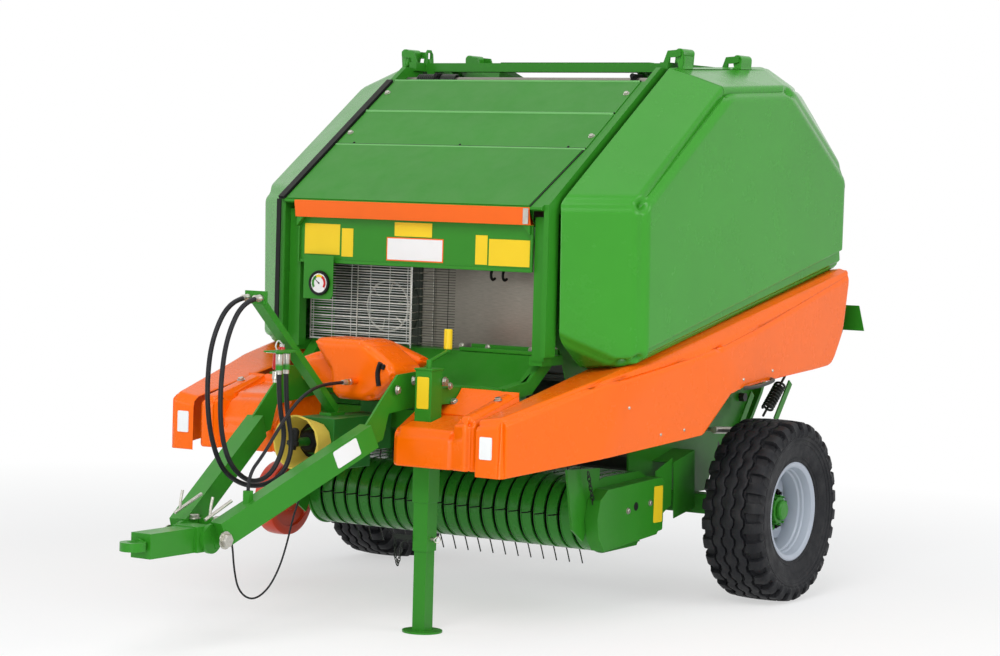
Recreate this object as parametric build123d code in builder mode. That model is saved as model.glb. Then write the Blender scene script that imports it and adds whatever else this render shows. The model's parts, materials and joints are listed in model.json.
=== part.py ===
"""Round baler with a fixed chamber, towed, standing on its two wheels and its jack.

Millimetres, +Z up. The hitch points to -Y, the machine's left side is +X, and the ground is Z = 0.
The origin is on the ground, below the middle of the machine's outline.
"""

import os
from math import cos, radians, sin, tan

from build123d import *

os.makedirs("parts", exist_ok=True)

# ---- driving dimensions ----------------------------------------------------------------------
GAP = 0.3                 # room between pieces that sit on each other
MOVING_GAP = 8            # smallest room between a moving piece and its neighbours
PIN_PLAY = 0.05           # radial play of a pin in its hole
SHEET = 4                 # sheet metal
PLATE = 10                # welded plate
SHELL = 6                 # moulded plastic wall

# bale chamber
CHAMBER_WIDTH = 1200
WALL_X = CHAMBER_WIDTH / 2
BALE_RADIUS = 775
CHAMBER_Y = BALE_RADIUS + 225
CHAMBER_Z = BALE_RADIUS + 645
ROLLER_RADIUS = 90
ROLLER_SHAFT = 22         # half the width over the corners of the hexagonal shaft
ROLLER_WALL = 5
ROLLER_RING = BALE_RADIUS + ROLLER_RADIUS
ROLLER_STEP = 22.5        # degrees between neighbouring rollers
RIB_COUNT = 8
RIB_HEIGHT = 12
RIB_TURN = 5              # degrees from the middle of a rib to its side
SPLIT_GAP = 12            # between the fixed front half and the tailgate

# wheels and axle
TRACK = CHAMBER_WIDTH + 880
AXLE_Y = CHAMBER_Y + 150
TYRE_RADIUS = 410
TYRE_WIDTH = 290
RIM_RADIUS = 216
AXLE_TUBE = 90
HUB_RADIUS = 62
STUB_RADIUS = 30

# chassis
CHASSIS_WIDTH = 80
CHASSIS_FOOT_Z = 800
CHASSIS_HEIGHT = 80
CHASSIS_REAR_Y = CHAMBER_Y + 420
SUPPORT_X = WALL_X + 45   # middle of the plates that carry the axle and the pickup

# roof
ROOF_Y = CHAMBER_Y - 140
ROOF_Z = CHAMBER_Z + BALE_RADIUS + 165
ROOF_TUBE = 40
ROOF_STRIP_Y = CHAMBER_Y - 300        # front end of the strips under the door hinges

# front of the machine
FRONT_HALF = WALL_X + 68  # half width of the sloping panels
RAIL_WIDTH = 24
SLOPE_FOOT = (-276, ROOF_Z - 608)
SLOPE_HEAD = (CHAMBER_Y - 457, ROOF_Z - 52)
POST_X = WALL_X + 36
POST_Y = -200
POST_WIDTH = 60
POST_FOOT_Z = 1130
RECESS_HALF = WALL_X
RECESS_FOOT_Z = 1480
STRIPE_HEIGHT = 76
STRIPE_HALF = WALL_X + 8
SILL_Z = 968              # middle of the front cross beam
SILL_Y = -416
SILL_TUBE = 68
SILL_HALF = WALL_X - 10
SHELF_Y = (-75, 40)
SHELF_Z = 1124

# side doors
DOOR_INNER = WALL_X + 113
DOOR_OUTER = WALL_X + 400
SKIRT_OUTER = WALL_X + 450
HINGE_X = WALL_X + 135
HINGE_Z = ROOF_Z + 80
HINGE_YS = (CHAMBER_Y - 223, CHAMBER_Y + 323)
HINGE_LENGTH = 100
HINGE_PIN = 10
DOOR_FOOT_Y = 35
DOOR_FOOT_Z = 1113
DOOR_FOOT_RISE = 0.205    # rise of the lower edge for each millimetre to the rear
DOOR_FOOT_TILT = 0.148    # rise of the lower edge for each millimetre outwards
GROOVE_DEPTH = 20         # step of the door's main face above its lower edge
GROOVE_FRONT = (70, 1170)
GROOVE_RISE = 0.2214      # rise of the step for each millimetre to the rear
SKIRT_FRONT_Y = -810

# hitch and drawbar
HITCH_TIP_Y = -2085
HITCH_Z = 450
EYE_RADIUS = 50
EYE_BORE = 22
EYE_THICK = 34
PIVOT_Y = -1656
PIVOT_RADIUS = 58
TONGUE_HALF = 62
BEAM_WIDTH = 70
BEAM_HEIGHT = 100
BEAM_FRONT = (100, -1640, 468)
BEAM_REAR = (285, -925, 818)

# jack
JACK_X = 380
JACK_Y = -650
JACK_OUTER = 80
JACK_MIDDLE = 70
JACK_INNER = 60
JACK_PLAY = 0.4           # sliding room on each side between the tubes
JACK_HEAD_Z = 1085
JACK_OUTER_FOOT_Z = 535
JACK_MIDDLE_FOOT_Z = 335
FOOT_RADIUS = 83
FOOT_THICK = 8
JACK_PIN_RADIUS = 8
JACK_PIN_Z = 385

# front covers
COVER_INNER = 300
COVER_OUTER = WALL_X + 100
COVER_STEP_X = WALL_X + 10
COVER_FOOT_Z = 690
COVER_LOW_Z = 845
COVER_HIGH_Z = 905

# gearbox
GEARBOX_HALF = 90
GEARBOX_Y = (-900, -640)
GEARBOX_Z = (660, 870)
PTO_Z = 776
PTO_FRONT_Y = -1040
PTO_RADIUS = 17.5

# pickup
REEL_Y = 200
REEL_Z = 440
BAND_RADIUS = 158
BAND_COUNT = 20
BAND_PITCH = (CHAMBER_WIDTH + 120) / BAND_COUNT
BAND_WIDTH = 48
BAND_THICK = 3
TINE_REACH = 245
TINE_SIZE = 6
TINE_BARS = 4
TINE_BAR_RING = 95
REEL_SHAFT = 22
PICKUP_HALF = WALL_X + 135
PICKUP_REAR_Y = 470
PICKUP_PIVOT_Y = 580
PICKUP_PIVOT_Z = 500
PICKUP_PIN = 16
SHIELD_X = WALL_X + 200
GAUGE_WHEEL_X = -WALL_X - 350
GAUGE_WHEEL_Y = 150
GAUGE_WHEEL_Z = 375
GAUGE_WHEEL_RADIUS = 170
GAUGE_WHEEL_WIDTH = 95
GAUGE_STUB = 15

# tailgate
GATE_HINGE_Y = CHAMBER_Y - 100
GATE_HINGE_Z = ROOF_Z - 15
GATE_PIN = 14
GATE_LUG_X = WALL_X - 100
RIM_DEPTH = 45            # rim flange of the tailgate, outwards
REAR_BAR_Y = CHAMBER_Y + ROLLER_RING + ROLLER_RADIUS + 35
REAR_BAR_Z = (CHAMBER_Z - 230, CHAMBER_Z - 110)
REAR_BAR_HALF = WALL_X + 455
REAR_END_Y = REAR_BAR_Y + 95


# ---- helpers ---------------------------------------------------------------------------------
def block(low, high, mode=Mode.ADD):
    """A box between two opposite corners."""
    size = [b - a for a, b in zip(low, high)]
    middle = tuple((a + b) / 2 for a, b in zip(low, high))
    with Locations(middle):
        Box(*size, mode=mode)


def bar(start, end, width, height, mode=Mode.ADD):
    """A straight bar of rectangular section; height is the upright side."""
    run = Vector(*end) - Vector(*start)
    side = Vector(0, 0, 1).cross(run)
    if side.length < 1e-6:
        side = Vector(1, 0, 0)
    with BuildSketch(Plane(origin=start, x_dir=side.normalized(), z_dir=run)) as section:
        Rectangle(width, height)
    extrude(section.sketch, amount=run.length, mode=mode)


def rod(start, end, radius, mode=Mode.ADD):
    """A straight round bar."""
    run = Vector(*end) - Vector(*start)
    with BuildSketch(Plane(origin=start, z_dir=run)) as section:
        Circle(radius)
    extrude(section.sketch, amount=run.length, mode=mode)


def plate_x(x, thick, outline, mode=Mode.ADD):
    """A plate that lies in YZ, from x to x + thick."""
    with BuildSketch(Plane.YZ.offset(x)) as section:
        Polygon(*outline, align=None)
    extrude(section.sketch, amount=thick, mode=mode)


def plate_y(y, thick, outline, mode=Mode.ADD):
    """A plate that lies in XZ, from y to y + thick."""
    with BuildSketch(Plane(origin=(0, y + thick, 0), x_dir=(1, 0, 0), z_dir=(0, -1, 0))) as section:
        Polygon(*outline, align=None)
    extrude(section.sketch, amount=thick, mode=mode)


def cut_flat(a, b, c, inside, inset=0):
    """Cut the piece along the plane through three points and keep the side of inside."""
    start = Vector(*a)
    normal = (Vector(*b) - start).cross(Vector(*c) - start).normalized()
    if normal.dot(Vector(*inside) - start) > 0:
        normal = -normal
    split(bisect_by=Plane(origin=start - normal * inset, z_dir=normal), keep=Keep.BOTTOM)


def save(part, name):
    """Label a finished piece and write it."""
    part.label = name
    export_step(part, f"parts/{name}.step")


def slope_z(y):
    """Height of the sloping front panels at y."""
    rise = (SLOPE_HEAD[1] - SLOPE_FOOT[1]) / (SLOPE_HEAD[0] - SLOPE_FOOT[0])
    return SLOPE_FOOT[1] + (y - SLOPE_FOOT[0]) * rise


def door_foot_z(y, x=DOOR_OUTER):
    """Height of the side door's lower edge, where the skirt below it begins."""
    return DOOR_FOOT_Z + (y - DOOR_FOOT_Y) * DOOR_FOOT_RISE + (x - DOOR_OUTER) * DOOR_FOOT_TILT


def ring_point(angle, radius=ROLLER_RING):
    """(y, z) of a point on a circle about the bale chamber's axis."""
    return (
        CHAMBER_Y + radius * cos(radians(angle)),
        CHAMBER_Z + radius * sin(radians(angle)),
    )


def shafts(x, length, angles, play=0, mode=Mode.ADD):
    """Hexagonal shafts of the rollers at the given angles, from x to x + length."""
    with BuildSketch(Plane.YZ.offset(x)) as section:
        with Locations(*[ring_point(angle) for angle in angles]):
            RegularPolygon(ROLLER_SHAFT + play, 6)
    extrude(section.sketch, amount=length, mode=mode)


def rollers(angles):
    """Ribbed bale rollers: tubes with recessed end webs on hexagonal shafts."""
    half = WALL_X - MOVING_GAP
    skin = ROLLER_RADIUS - RIB_HEIGHT
    ribbed = []
    for rib in range(RIB_COUNT):
        middle = 360 * rib / RIB_COUNT
        for radius, swing in ((skin, -1), (ROLLER_RADIUS, -1), (ROLLER_RADIUS, 1), (skin, 1)):
            turn = radians(middle + swing * RIB_TURN)
            ribbed.append((radius * cos(turn), radius * sin(turn)))
    with BuildSketch(Plane.YZ.offset(-half)) as section:
        with Locations(*[ring_point(angle) for angle in angles]):
            Polygon(*ribbed, align=None)
            RegularPolygon(skin - ROLLER_WALL, RIB_COUNT, mode=Mode.SUBTRACT)
    extrude(section.sketch, amount=2 * half)
    webs = [Plane.YZ.offset(x) for x in (-half + 20, half - 20 - PLATE)]
    with BuildSketch(*webs) as section:
        with Locations(*[ring_point(angle) for angle in angles]):
            RegularPolygon(skin - ROLLER_WALL + 1, RIB_COUNT)
    extrude(section.sketch, amount=PLATE)
    shafts(-WALL_X - 30, 2 * WALL_X + 60, angles)


def hose(points, size):
    """A plain hose or cable along straight runs joined by arcs as large as the runs allow."""
    runs = [Vector(*b) - Vector(*a) for a, b in zip(points, points[1:])]
    radii = []
    for a, b in zip(runs, runs[1:]):
        half_turn = radians(a.get_angle(b)) / 2
        radii.append(0.45 * min(a.length, b.length) / tan(half_turn))
    with BuildLine() as route:
        FilletPolyline(*points, radius=radii)
    with BuildSketch(Plane(origin=points[0], z_dir=runs[0])) as section:
        RegularPolygon(size / 2, 6)
    sweep(section.sketch, path=route.wire())


SIDES = {"left": 1, "right": -1}

# ---- wheels ----------------------------------------------------------------------------------
RIM_HALF = 115
BEAD_HALF = RIM_HALF - 14
SEAT_RADIUS = RIM_RADIUS - 15
TYRE_HALF = TYRE_WIDTH / 2
SHOULDER = 30
for name, side in SIDES.items():
    with BuildPart() as tyre:
        with BuildSketch(Plane.XY) as profile:
            with BuildLine():
                Polyline(
                    (BEAD_HALF, SEAT_RADIUS + GAP),
                    (TYRE_HALF, SEAT_RADIUS + 60),
                    (TYRE_HALF, TYRE_RADIUS - SHOULDER),
                    (TYRE_HALF - SHOULDER, TYRE_RADIUS),
                    (-TYRE_HALF + SHOULDER, TYRE_RADIUS),
                    (-TYRE_HALF, TYRE_RADIUS - SHOULDER),
                    (-TYRE_HALF, SEAT_RADIUS + 60),
                    (-BEAD_HALF, SEAT_RADIUS + GAP),
                    close=True,
                )
            make_face()
        revolve(axis=Axis.X)
    tyre.part = tyre.part.moved(Location((side * TRACK / 2, AXLE_Y, TYRE_RADIUS)))
    save(tyre.part, f"tyre_{name}")

RIM_WALL = 7
DISC_X = -15              # inner face of the wheel disc, from the middle of the wheel
DISC_THICK = 12
DISC_SIDES = 8
HUB_REACH = 75
HUB_BACK = 90
for name, side in SIDES.items():
    with BuildPart() as rim:
        with BuildSketch(Plane.YZ.offset(-RIM_HALF)) as section:
            Circle(SEAT_RADIUS)
            Circle(SEAT_RADIUS - RIM_WALL, mode=Mode.SUBTRACT)
        extrude(section.sketch, amount=2 * RIM_HALF)
        # the disc's corners are welded into the rim
        with BuildSketch(Plane.YZ.offset(DISC_X)) as section:
            RegularPolygon(SEAT_RADIUS - 3, DISC_SIDES)
        extrude(section.sketch, amount=DISC_THICK)
        with BuildSketch(Plane.YZ.offset(-HUB_BACK)) as section:
            RegularPolygon(HUB_RADIUS, 12)
        extrude(section.sketch, amount=HUB_BACK + DISC_X + HUB_REACH)
        with BuildSketch(Plane.YZ.offset(-HUB_BACK - 1)) as section:
            Circle(STUB_RADIUS + PIN_PLAY)
        extrude(section.sketch, amount=HUB_BACK + DISC_X + HUB_REACH + 2, mode=Mode.SUBTRACT)
    if side < 0:
        rim.part = rim.part.mirror(Plane.YZ)
    rim.part = rim.part.moved(Location((side * TRACK / 2, AXLE_Y, TYRE_RADIUS)))
    save(rim.part, f"rim_{name}")

# ---- axle and chassis ------------------------------------------------------------------------
STUB_END = TRACK / 2 + DISC_X + HUB_REACH - 5
AXLE_HALF = TRACK / 2 - 100
AXLE_TOP_Z = TYRE_RADIUS + AXLE_TUBE / 2
with BuildPart() as axle:
    block(
        (-AXLE_HALF, AXLE_Y - AXLE_TUBE / 2, TYRE_RADIUS - AXLE_TUBE / 2),
        (AXLE_HALF, AXLE_Y + AXLE_TUBE / 2, AXLE_TOP_Z),
    )
    rod((-STUB_END, AXLE_Y, TYRE_RADIUS), (STUB_END, AXLE_Y, TYRE_RADIUS), STUB_RADIUS)
save(axle.part, "axle")

CHASSIS_IN = WALL_X + SHEET + GAP
CHASSIS_OUT = CHASSIS_IN + CHASSIS_WIDTH
CHASSIS_TOP_Z = CHASSIS_FOOT_Z + CHASSIS_HEIGHT
SILL_FRONT_Y = SILL_Y - SILL_TUBE / 2
SILL_BACK_Y = SILL_Y + SILL_TUBE / 2
CHASSIS_FRONT_Y = SILL_BACK_Y + GAP
with BuildPart() as main_frame:
    for side in SIDES.values():
        # side beam, with an upright that meets the front cross beam
        low = min(side * CHASSIS_IN, side * CHASSIS_OUT)
        high = low + CHASSIS_WIDTH
        block((low, CHASSIS_FRONT_Y, CHASSIS_FOOT_Z), (high, CHASSIS_REAR_Y, CHASSIS_TOP_Z))
        # plate from the beam down to the axle, with the eye of the pickup at its front
        with BuildSketch(Plane.YZ.offset(side * SUPPORT_X - PLATE / 2)) as section:
            Polygon(
                (PICKUP_PIVOT_Y - 50, CHASSIS_TOP_Z - 20),
                (CHASSIS_REAR_Y, CHASSIS_TOP_Z - 20),
                (CHASSIS_REAR_Y, CHASSIS_FOOT_Z - 20),
                (AXLE_Y + 110, AXLE_TOP_Z + GAP),
                (AXLE_Y - 110, AXLE_TOP_Z + GAP),
                (PICKUP_PIVOT_Y + 120, PICKUP_PIVOT_Z + 60),
                (PICKUP_PIVOT_Y + 30, PICKUP_PIVOT_Z - 45),
                (PICKUP_PIVOT_Y - 40, PICKUP_PIVOT_Z - 30),
                align=None,
            )
            with Locations((PICKUP_PIVOT_Y, PICKUP_PIVOT_Z)):
                Circle(PICKUP_PIN + PIN_PLAY, mode=Mode.SUBTRACT)
        extrude(section.sketch, amount=PLATE)
        # upright behind the front cross beam
        low, high = sorted((side * (SILL_HALF - 150), side * (SILL_HALF - 60)))
        block(
            (low, CHASSIS_FRONT_Y, CHASSIS_TOP_Z - 1),
            (high, CHASSIS_FRONT_Y + PLATE, SILL_Z + SILL_TUBE / 2),
        )
    block(
        (-CHASSIS_OUT, CHASSIS_FRONT_Y, CHASSIS_FOOT_Z),
        (CHASSIS_OUT, CHASSIS_FRONT_Y + 60, CHASSIS_TOP_Z),
    )
    # guard of the pickup's drive, hung on the left plate
    guard_x = SUPPORT_X + 110
    plate_x(
        guard_x,
        SHEET,
        [
            (AXLE_Y - 401, 629),
            (AXLE_Y - 210, 672),
            (AXLE_Y - 193, 410),
            (AXLE_Y - 385, 377),
        ],
    )
    plate_x(
        SUPPORT_X,
        guard_x - SUPPORT_X + 1,
        [
            (AXLE_Y - 401, 629),
            (AXLE_Y - 210, 672),
            (AXLE_Y - 210, 672 - SHEET),
            (AXLE_Y - 401, 629 - SHEET),
        ],
    )
    # saddle along the top of the axle
    block(
        (-SUPPORT_X, AXLE_Y - 38, AXLE_TOP_Z + GAP),
        (SUPPORT_X, AXLE_Y + 38, AXLE_TOP_Z + GAP + PLATE),
    )
save(main_frame.part, "main_frame")

# ---- bale chamber: fixed front half ----------------------------------------------------------
SPLIT_TOP_Y = GATE_HINGE_Y - 10
SPLIT_FOOT_Y = CHAMBER_Y + 40
FRONT_ANGLES = [135 + ROLLER_STEP * i for i in range(4)] + [270]
GATE_ANGLES = [-62.5 + ROLLER_STEP * i for i in range(7)]
for name, side in SIDES.items():
    inner = min(side * WALL_X, side * (WALL_X + SHEET))
    with BuildPart() as side_wall:
        plate_x(
            inner,
            SHEET,
            [
                (POST_Y + 60, SHELF_Z + 76),
                (POST_Y + 60, ROOF_Z - 600),
                (CHAMBER_Y - 520, ROOF_Z - 125),
                (SPLIT_TOP_Y, ROOF_Z - 60),
                (SPLIT_TOP_Y, ROOF_Z - 120),
                (SPLIT_FOOT_Y, ROOF_Z - 210),
                (SPLIT_FOOT_Y, 480),
                (CHAMBER_Y - 200, 520),
                (CHAMBER_Y - 380, 660),
                (330, 760),
                (120, 860),
                (0, 1150),
            ],
        )
        shafts(inner, SHEET, FRONT_ANGLES, PIN_PLAY, mode=Mode.SUBTRACT)
    save(side_wall.part, f"side_wall_{name}")


with BuildPart() as bale_rollers:
    rollers(FRONT_ANGLES)
save(bale_rollers.part, "bale_rollers")

# ---- front frame, panels and roof ------------------------------------------------------------
RAIL_IN = FRONT_HALF + GAP
RAIL_OUT = RAIL_IN + RAIL_WIDTH
RAIL_FRONT_Y = POST_Y - 60
TOP_ROLLER = (CHAMBER_Y - 340, ROOF_Z - 55)
TOP_ROLLER_RADIUS = 24
ROOF_FRONT_Y = ROOF_Y - 80
with BuildPart() as front_frame:
    for side in SIDES.values():
        # rail along the side of the sloping panels, with the roller's bearing at its head
        low = min(side * RAIL_IN, side * RAIL_OUT)
        plate_x(
            low,
            RAIL_WIDTH,
            [
                (RAIL_FRONT_Y, POST_FOOT_Z),
                (RAIL_FRONT_Y, slope_z(RAIL_FRONT_Y)),
                (TOP_ROLLER[0] - 20, slope_z(TOP_ROLLER[0] - 20)),
                (ROOF_STRIP_Y - GAP, ROOF_Z + 12),
                (ROOF_STRIP_Y - GAP, ROOF_Z - GAP),
                (ROOF_FRONT_Y - GAP, ROOF_Z - GAP),
                (ROOF_FRONT_Y - GAP, ROOF_Z - 40),
                (TOP_ROLLER[0] + 20, TOP_ROLLER[1] - 50),
                (POST_Y + 20, slope_z(POST_Y + 20) - 90),
                (POST_Y + 20, POST_FOOT_Z),
            ],
        )
        # post, then the bent brace down to the end of the tray
        post = side * POST_X
        block(
            (post - POST_WIDTH / 2, POST_Y - 25, POST_FOOT_Z - 20),
            (post + POST_WIDTH / 2, POST_Y + 25, ROOF_Z - 650),
        )
        low = min(post + side * POST_WIDTH / 2 - side, side * (RAIL_IN + 1))
        high = max(post + side * POST_WIDTH / 2 - side, side * (RAIL_IN + 1))
        block((low, POST_Y - 20, POST_FOOT_Z), (high, POST_Y + 20, ROOF_Z - 660))
        arm = side * (SILL_HALF - 10)
        bar((arm, SILL_Y, SILL_Z + 6), (arm, -222, SILL_Z + 30), 50, 56)
        bar((arm, -236, SILL_Z + 22), (arm + side * 14, -80, 1120), 50, 56)
        block((post - 45, POST_Y - 20, 1090), (post + 20, SHELF_Y[0] + 20, 1130))
    # front cross beam, the tray's lip and the shelf below the back sheet
    block(
        (-SILL_HALF, SILL_FRONT_Y, SILL_Z - SILL_TUBE / 2),
        (SILL_HALF, SILL_BACK_Y, SILL_Z + SILL_TUBE / 2),
    )
    block((-SILL_HALF, SHELF_Y[0], SHELF_Z - 30), (SILL_HALF, SHELF_Y[0] + 50, SHELF_Z))
    block((-SILL_HALF, SHELF_Y[0], SHELF_Z - SHEET), (SILL_HALF, SHELF_Y[1], SHELF_Z))
save(front_frame.part, "front_frame")

PANEL_SIDE = FRONT_HALF
RECESS_Y = POST_Y - 34
with BuildPart() as front_panels:
    foot_y, foot_z = SLOPE_FOOT
    head_y = SLOPE_HEAD[0]
    plate_x(
        -FRONT_HALF,
        2 * FRONT_HALF,
        [
            (foot_y, foot_z),
            (head_y, slope_z(head_y)),
            (head_y + 12, slope_z(head_y) - 8),
            (head_y + 12, slope_z(head_y) - 22),
            (head_y - 2, slope_z(head_y) - 10),
            (foot_y + 22, slope_z(foot_y + 22) - 10),
            (foot_y + 14, foot_z - 16),
            (foot_y, foot_z - 10),
        ],
    )
    # recessed panel below the visor
    recess_top = slope_z(RECESS_Y) - 8
    block((-RECESS_HALF, RECESS_Y, RECESS_FOOT_Z), (RECESS_HALF, RECESS_Y + SHEET, recess_top))
save(front_panels.part, "front_panels")

with BuildPart() as visor_stripe:
    plate_x(
        -STRIPE_HALF,
        2 * STRIPE_HALF,
        [
            (foot_y - GAP, foot_z - 2),
            (foot_y - GAP - 3, foot_z - 2),
            (foot_y + 8, foot_z - STRIPE_HEIGHT),
            (foot_y + 40, foot_z - STRIPE_HEIGHT),
            (foot_y + 40, foot_z - STRIPE_HEIGHT + 3),
            (foot_y + 11, foot_z - STRIPE_HEIGHT + 3),
            (foot_y - GAP, foot_z - 14),
        ],
    )
save(visor_stripe.part, "visor_stripe")

with BuildPart() as roof_frame:
    # cross beam over the chamber and the side strips under the hinges
    block(
        (-FRONT_HALF, ROOF_FRONT_Y, ROOF_Z),
        (FRONT_HALF, ROOF_Y, ROOF_Z + ROOF_TUBE),
    )
    for side in SIDES.values():
        low, high = sorted((side * (WALL_X + RIM_DEPTH + MOVING_GAP), side * RAIL_OUT))
        block((low, ROOF_STRIP_Y, ROOF_Z), (high, HINGE_YS[1] + 97, ROOF_Z + ROOF_TUBE))
        for y in HINGE_YS:
            # two ears and the pin of a side door
            for end in (-1, 1):
                ear_y = y + end * (HINGE_LENGTH / 2 + 8)
                ear = [
                    (RAIL_OUT - 34, ROOF_Z + ROOF_TUBE - 10),
                    (RAIL_OUT - 2, ROOF_Z + ROOF_TUBE - 10),
                    (RAIL_OUT, HINGE_Z - 18),
                    (HINGE_X - 4, HINGE_Z - 16),
                    (HINGE_X + 12, HINGE_Z - 10),
                    (HINGE_X + 12, HINGE_Z + 10),
                    (HINGE_X, HINGE_Z + 16),
                    (RAIL_OUT - 10, HINGE_Z + 12),
                ]
                plate_y(ear_y - 6, 12, [(side * x, z) for x, z in ear])
            half = HINGE_LENGTH / 2 + 4
            rod((side * HINGE_X, y - half, HINGE_Z), (side * HINGE_X, y + half, HINGE_Z), HINGE_PIN)
        # ears and pin that carry the tailgate
        for lug in (-20, 20):
            x = side * GATE_LUG_X + lug
            plate_x(
                x - PLATE / 2,
                PLATE,
                [
                    (ROOF_FRONT_Y, ROOF_Z + 10),
                    (ROOF_Y, ROOF_Z + ROOF_TUBE - 5),
                    (GATE_HINGE_Y + 26, GATE_HINGE_Z + 12),
                    (GATE_HINGE_Y + 18, GATE_HINGE_Z - 22),
                    (GATE_HINGE_Y - 26, GATE_HINGE_Z - 22),
                ],
            )
        x = side * GATE_LUG_X
        rod((x - 20, GATE_HINGE_Y, GATE_HINGE_Z), (x + 20, GATE_HINGE_Y, GATE_HINGE_Z), GATE_PIN)
        # uprights down to the chamber wall
        low = min(side * CHASSIS_IN, side * (CHASSIS_IN + 40))
        block((low, ROOF_FRONT_Y, ROOF_Z - 160), (low + 40, ROOF_Y, ROOF_Z + 1))
        # lifting eye at the front corner of the roof
        eye_x = side * (FRONT_HALF + 8)
        plate_x(
            eye_x - PLATE / 2,
            PLATE,
            [
                (ROOF_Y - 60, ROOF_Z + ROOF_TUBE - 5),
                (ROOF_Y - 52, ROOF_Z + 84),
                (ROOF_Y - 34, ROOF_Z + 104),
                (ROOF_Y - 10, ROOF_Z + 104),
                (ROOF_Y + 6, ROOF_Z + 84),
                (ROOF_Y + 12, ROOF_Z + ROOF_TUBE - 5),
            ],
        )
        eye = (eye_x - PLATE, ROOF_Y - 22, ROOF_Z + 76)
        block(
            (eye[0], eye[1] - 14, eye[2] - 14),
            (eye[0] + 2 * PLATE, eye[1] + 14, eye[2] + 14),
            mode=Mode.SUBTRACT,
        )
save(roof_frame.part, "roof_frame")

# ---- drawbar and hitch -----------------------------------------------------------------------
PIVOT_IN = TONGUE_HALF + GAP
GUSSET_X = BEAM_REAR[0]
with BuildPart() as drawbar:
    for side in SIDES.values():
        front = (side * BEAM_FRONT[0], BEAM_FRONT[1], BEAM_FRONT[2])
        rear = (side * BEAM_REAR[0], BEAM_REAR[1], BEAM_REAR[2])
        bar(front, rear, BEAM_WIDTH, BEAM_HEIGHT)
        # round clamp plate at the tongue's pivot, and the cheek behind it
        rod(
            (side * PIVOT_IN, PIVOT_Y, HITCH_Z),
            (side * (PIVOT_IN + 16), PIVOT_Y, HITCH_Z),
            PIVOT_RADIUS,
        )
        bar(
            (side * (PIVOT_IN + 10), PIVOT_Y, HITCH_Z),
            (side * (PIVOT_IN + 16), BEAM_FRONT[1] + 80, BEAM_FRONT[2] + 20),
            16,
            90,
        )
        # gusset plate that carries the beam on the front cross beam
        plate_x(
            side * GUSSET_X - PLATE / 2,
            PLATE,
            [
                (-998, 822),
                (-920, 775),
                (-837, 796),
                (-800, 900),
                (SILL_FRONT_Y - GAP, SILL_Z - SILL_TUBE / 2),
                (SILL_FRONT_Y - GAP, SILL_Z + SILL_TUBE / 2),
                (-608, 1063),
                (-742, 1055),
                (-851, 959),
            ],
        )
    # clamp of the pressure hose on the left beam
    block((118, -1526, 560), (146, -1498, 630 - GAP))
    block((-130, -1560, 480), (130, -1500, 510))
save(drawbar.part, "drawbar")

with BuildPart() as hitch_tongue:
    block(
        (-TONGUE_HALF, PIVOT_Y - 74, HITCH_Z - 50),
        (TONGUE_HALF, PIVOT_Y + 20, HITCH_Z + 50),
    )
    block(
        (-TONGUE_HALF + 14, HITCH_TIP_Y + 95, HITCH_Z - 50),
        (TONGUE_HALF - 14, PIVOT_Y - 69, HITCH_Z + 46),
    )
    rod((0, HITCH_TIP_Y + 90, HITCH_Z), (0, HITCH_TIP_Y + EYE_RADIUS + EYE_BORE + 4, HITCH_Z), 26)
    with Locations((0, HITCH_TIP_Y + EYE_RADIUS, HITCH_Z)):
        Cylinder(EYE_RADIUS, EYE_THICK)
        Cylinder(EYE_BORE, 4 * EYE_THICK, mode=Mode.SUBTRACT)
save(hitch_tongue.part, "hitch_tongue")

# ---- jack ------------------------------------------------------------------------------------
JACK_OUTER_HOLE = JACK_MIDDLE + 2 * JACK_PLAY
JACK_MIDDLE_HOLE = JACK_INNER + 2 * JACK_PLAY
JACK_TOP_Z = JACK_HEAD_Z - 8


def tube_z(size, hole, low, high):
    """An upright square tube on the jack's axis."""
    with BuildSketch(Plane.XY.offset(low)) as section:
        with Locations((JACK_X, JACK_Y)):
            Rectangle(size, size)
            Rectangle(hole, hole, mode=Mode.SUBTRACT)
    extrude(section.sketch, amount=high - low)


with BuildPart() as jack_tube:
    tube_z(JACK_OUTER, JACK_OUTER_HOLE, JACK_OUTER_FOOT_Z, JACK_TOP_Z)
    head = JACK_OUTER / 2 + 4
    block(
        (JACK_X - head, JACK_Y - head, JACK_TOP_Z),
        (JACK_X + head, JACK_Y + head, JACK_HEAD_Z),
    )
    # bracket back to the front cross beam
    block(
        (JACK_X - 30, JACK_Y + JACK_OUTER / 2 - 1, SILL_Z - SILL_TUBE / 2),
        (JACK_X + 30, SILL_FRONT_Y - GAP, SILL_Z + SILL_TUBE / 2),
    )
save(jack_tube.part, "jack_tube")

with BuildPart() as jack_middle:
    tube_z(JACK_MIDDLE, JACK_MIDDLE_HOLE, JACK_MIDDLE_FOOT_Z, JACK_OUTER_FOOT_Z + 330)
    rod(
        (JACK_X - JACK_OUTER, JACK_Y, JACK_PIN_Z),
        (JACK_X + JACK_OUTER, JACK_Y, JACK_PIN_Z),
        JACK_PIN_RADIUS,
        mode=Mode.SUBTRACT,
    )
save(jack_middle.part, "jack_middle")

with BuildPart() as jack_leg:
    tube_z(JACK_INNER, JACK_INNER - 10, FOOT_THICK - 1, JACK_MIDDLE_FOOT_Z + 230)
    with BuildSketch(Plane.XY) as pad:
        with Locations((JACK_X, JACK_Y)):
            Circle(FOOT_RADIUS)
    extrude(pad.sketch, amount=FOOT_THICK)
    rod(
        (JACK_X - JACK_OUTER, JACK_Y, JACK_PIN_Z),
        (JACK_X + JACK_OUTER, JACK_Y, JACK_PIN_Z),
        JACK_PIN_RADIUS,
        mode=Mode.SUBTRACT,
    )
save(jack_leg.part, "jack_leg")

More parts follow.
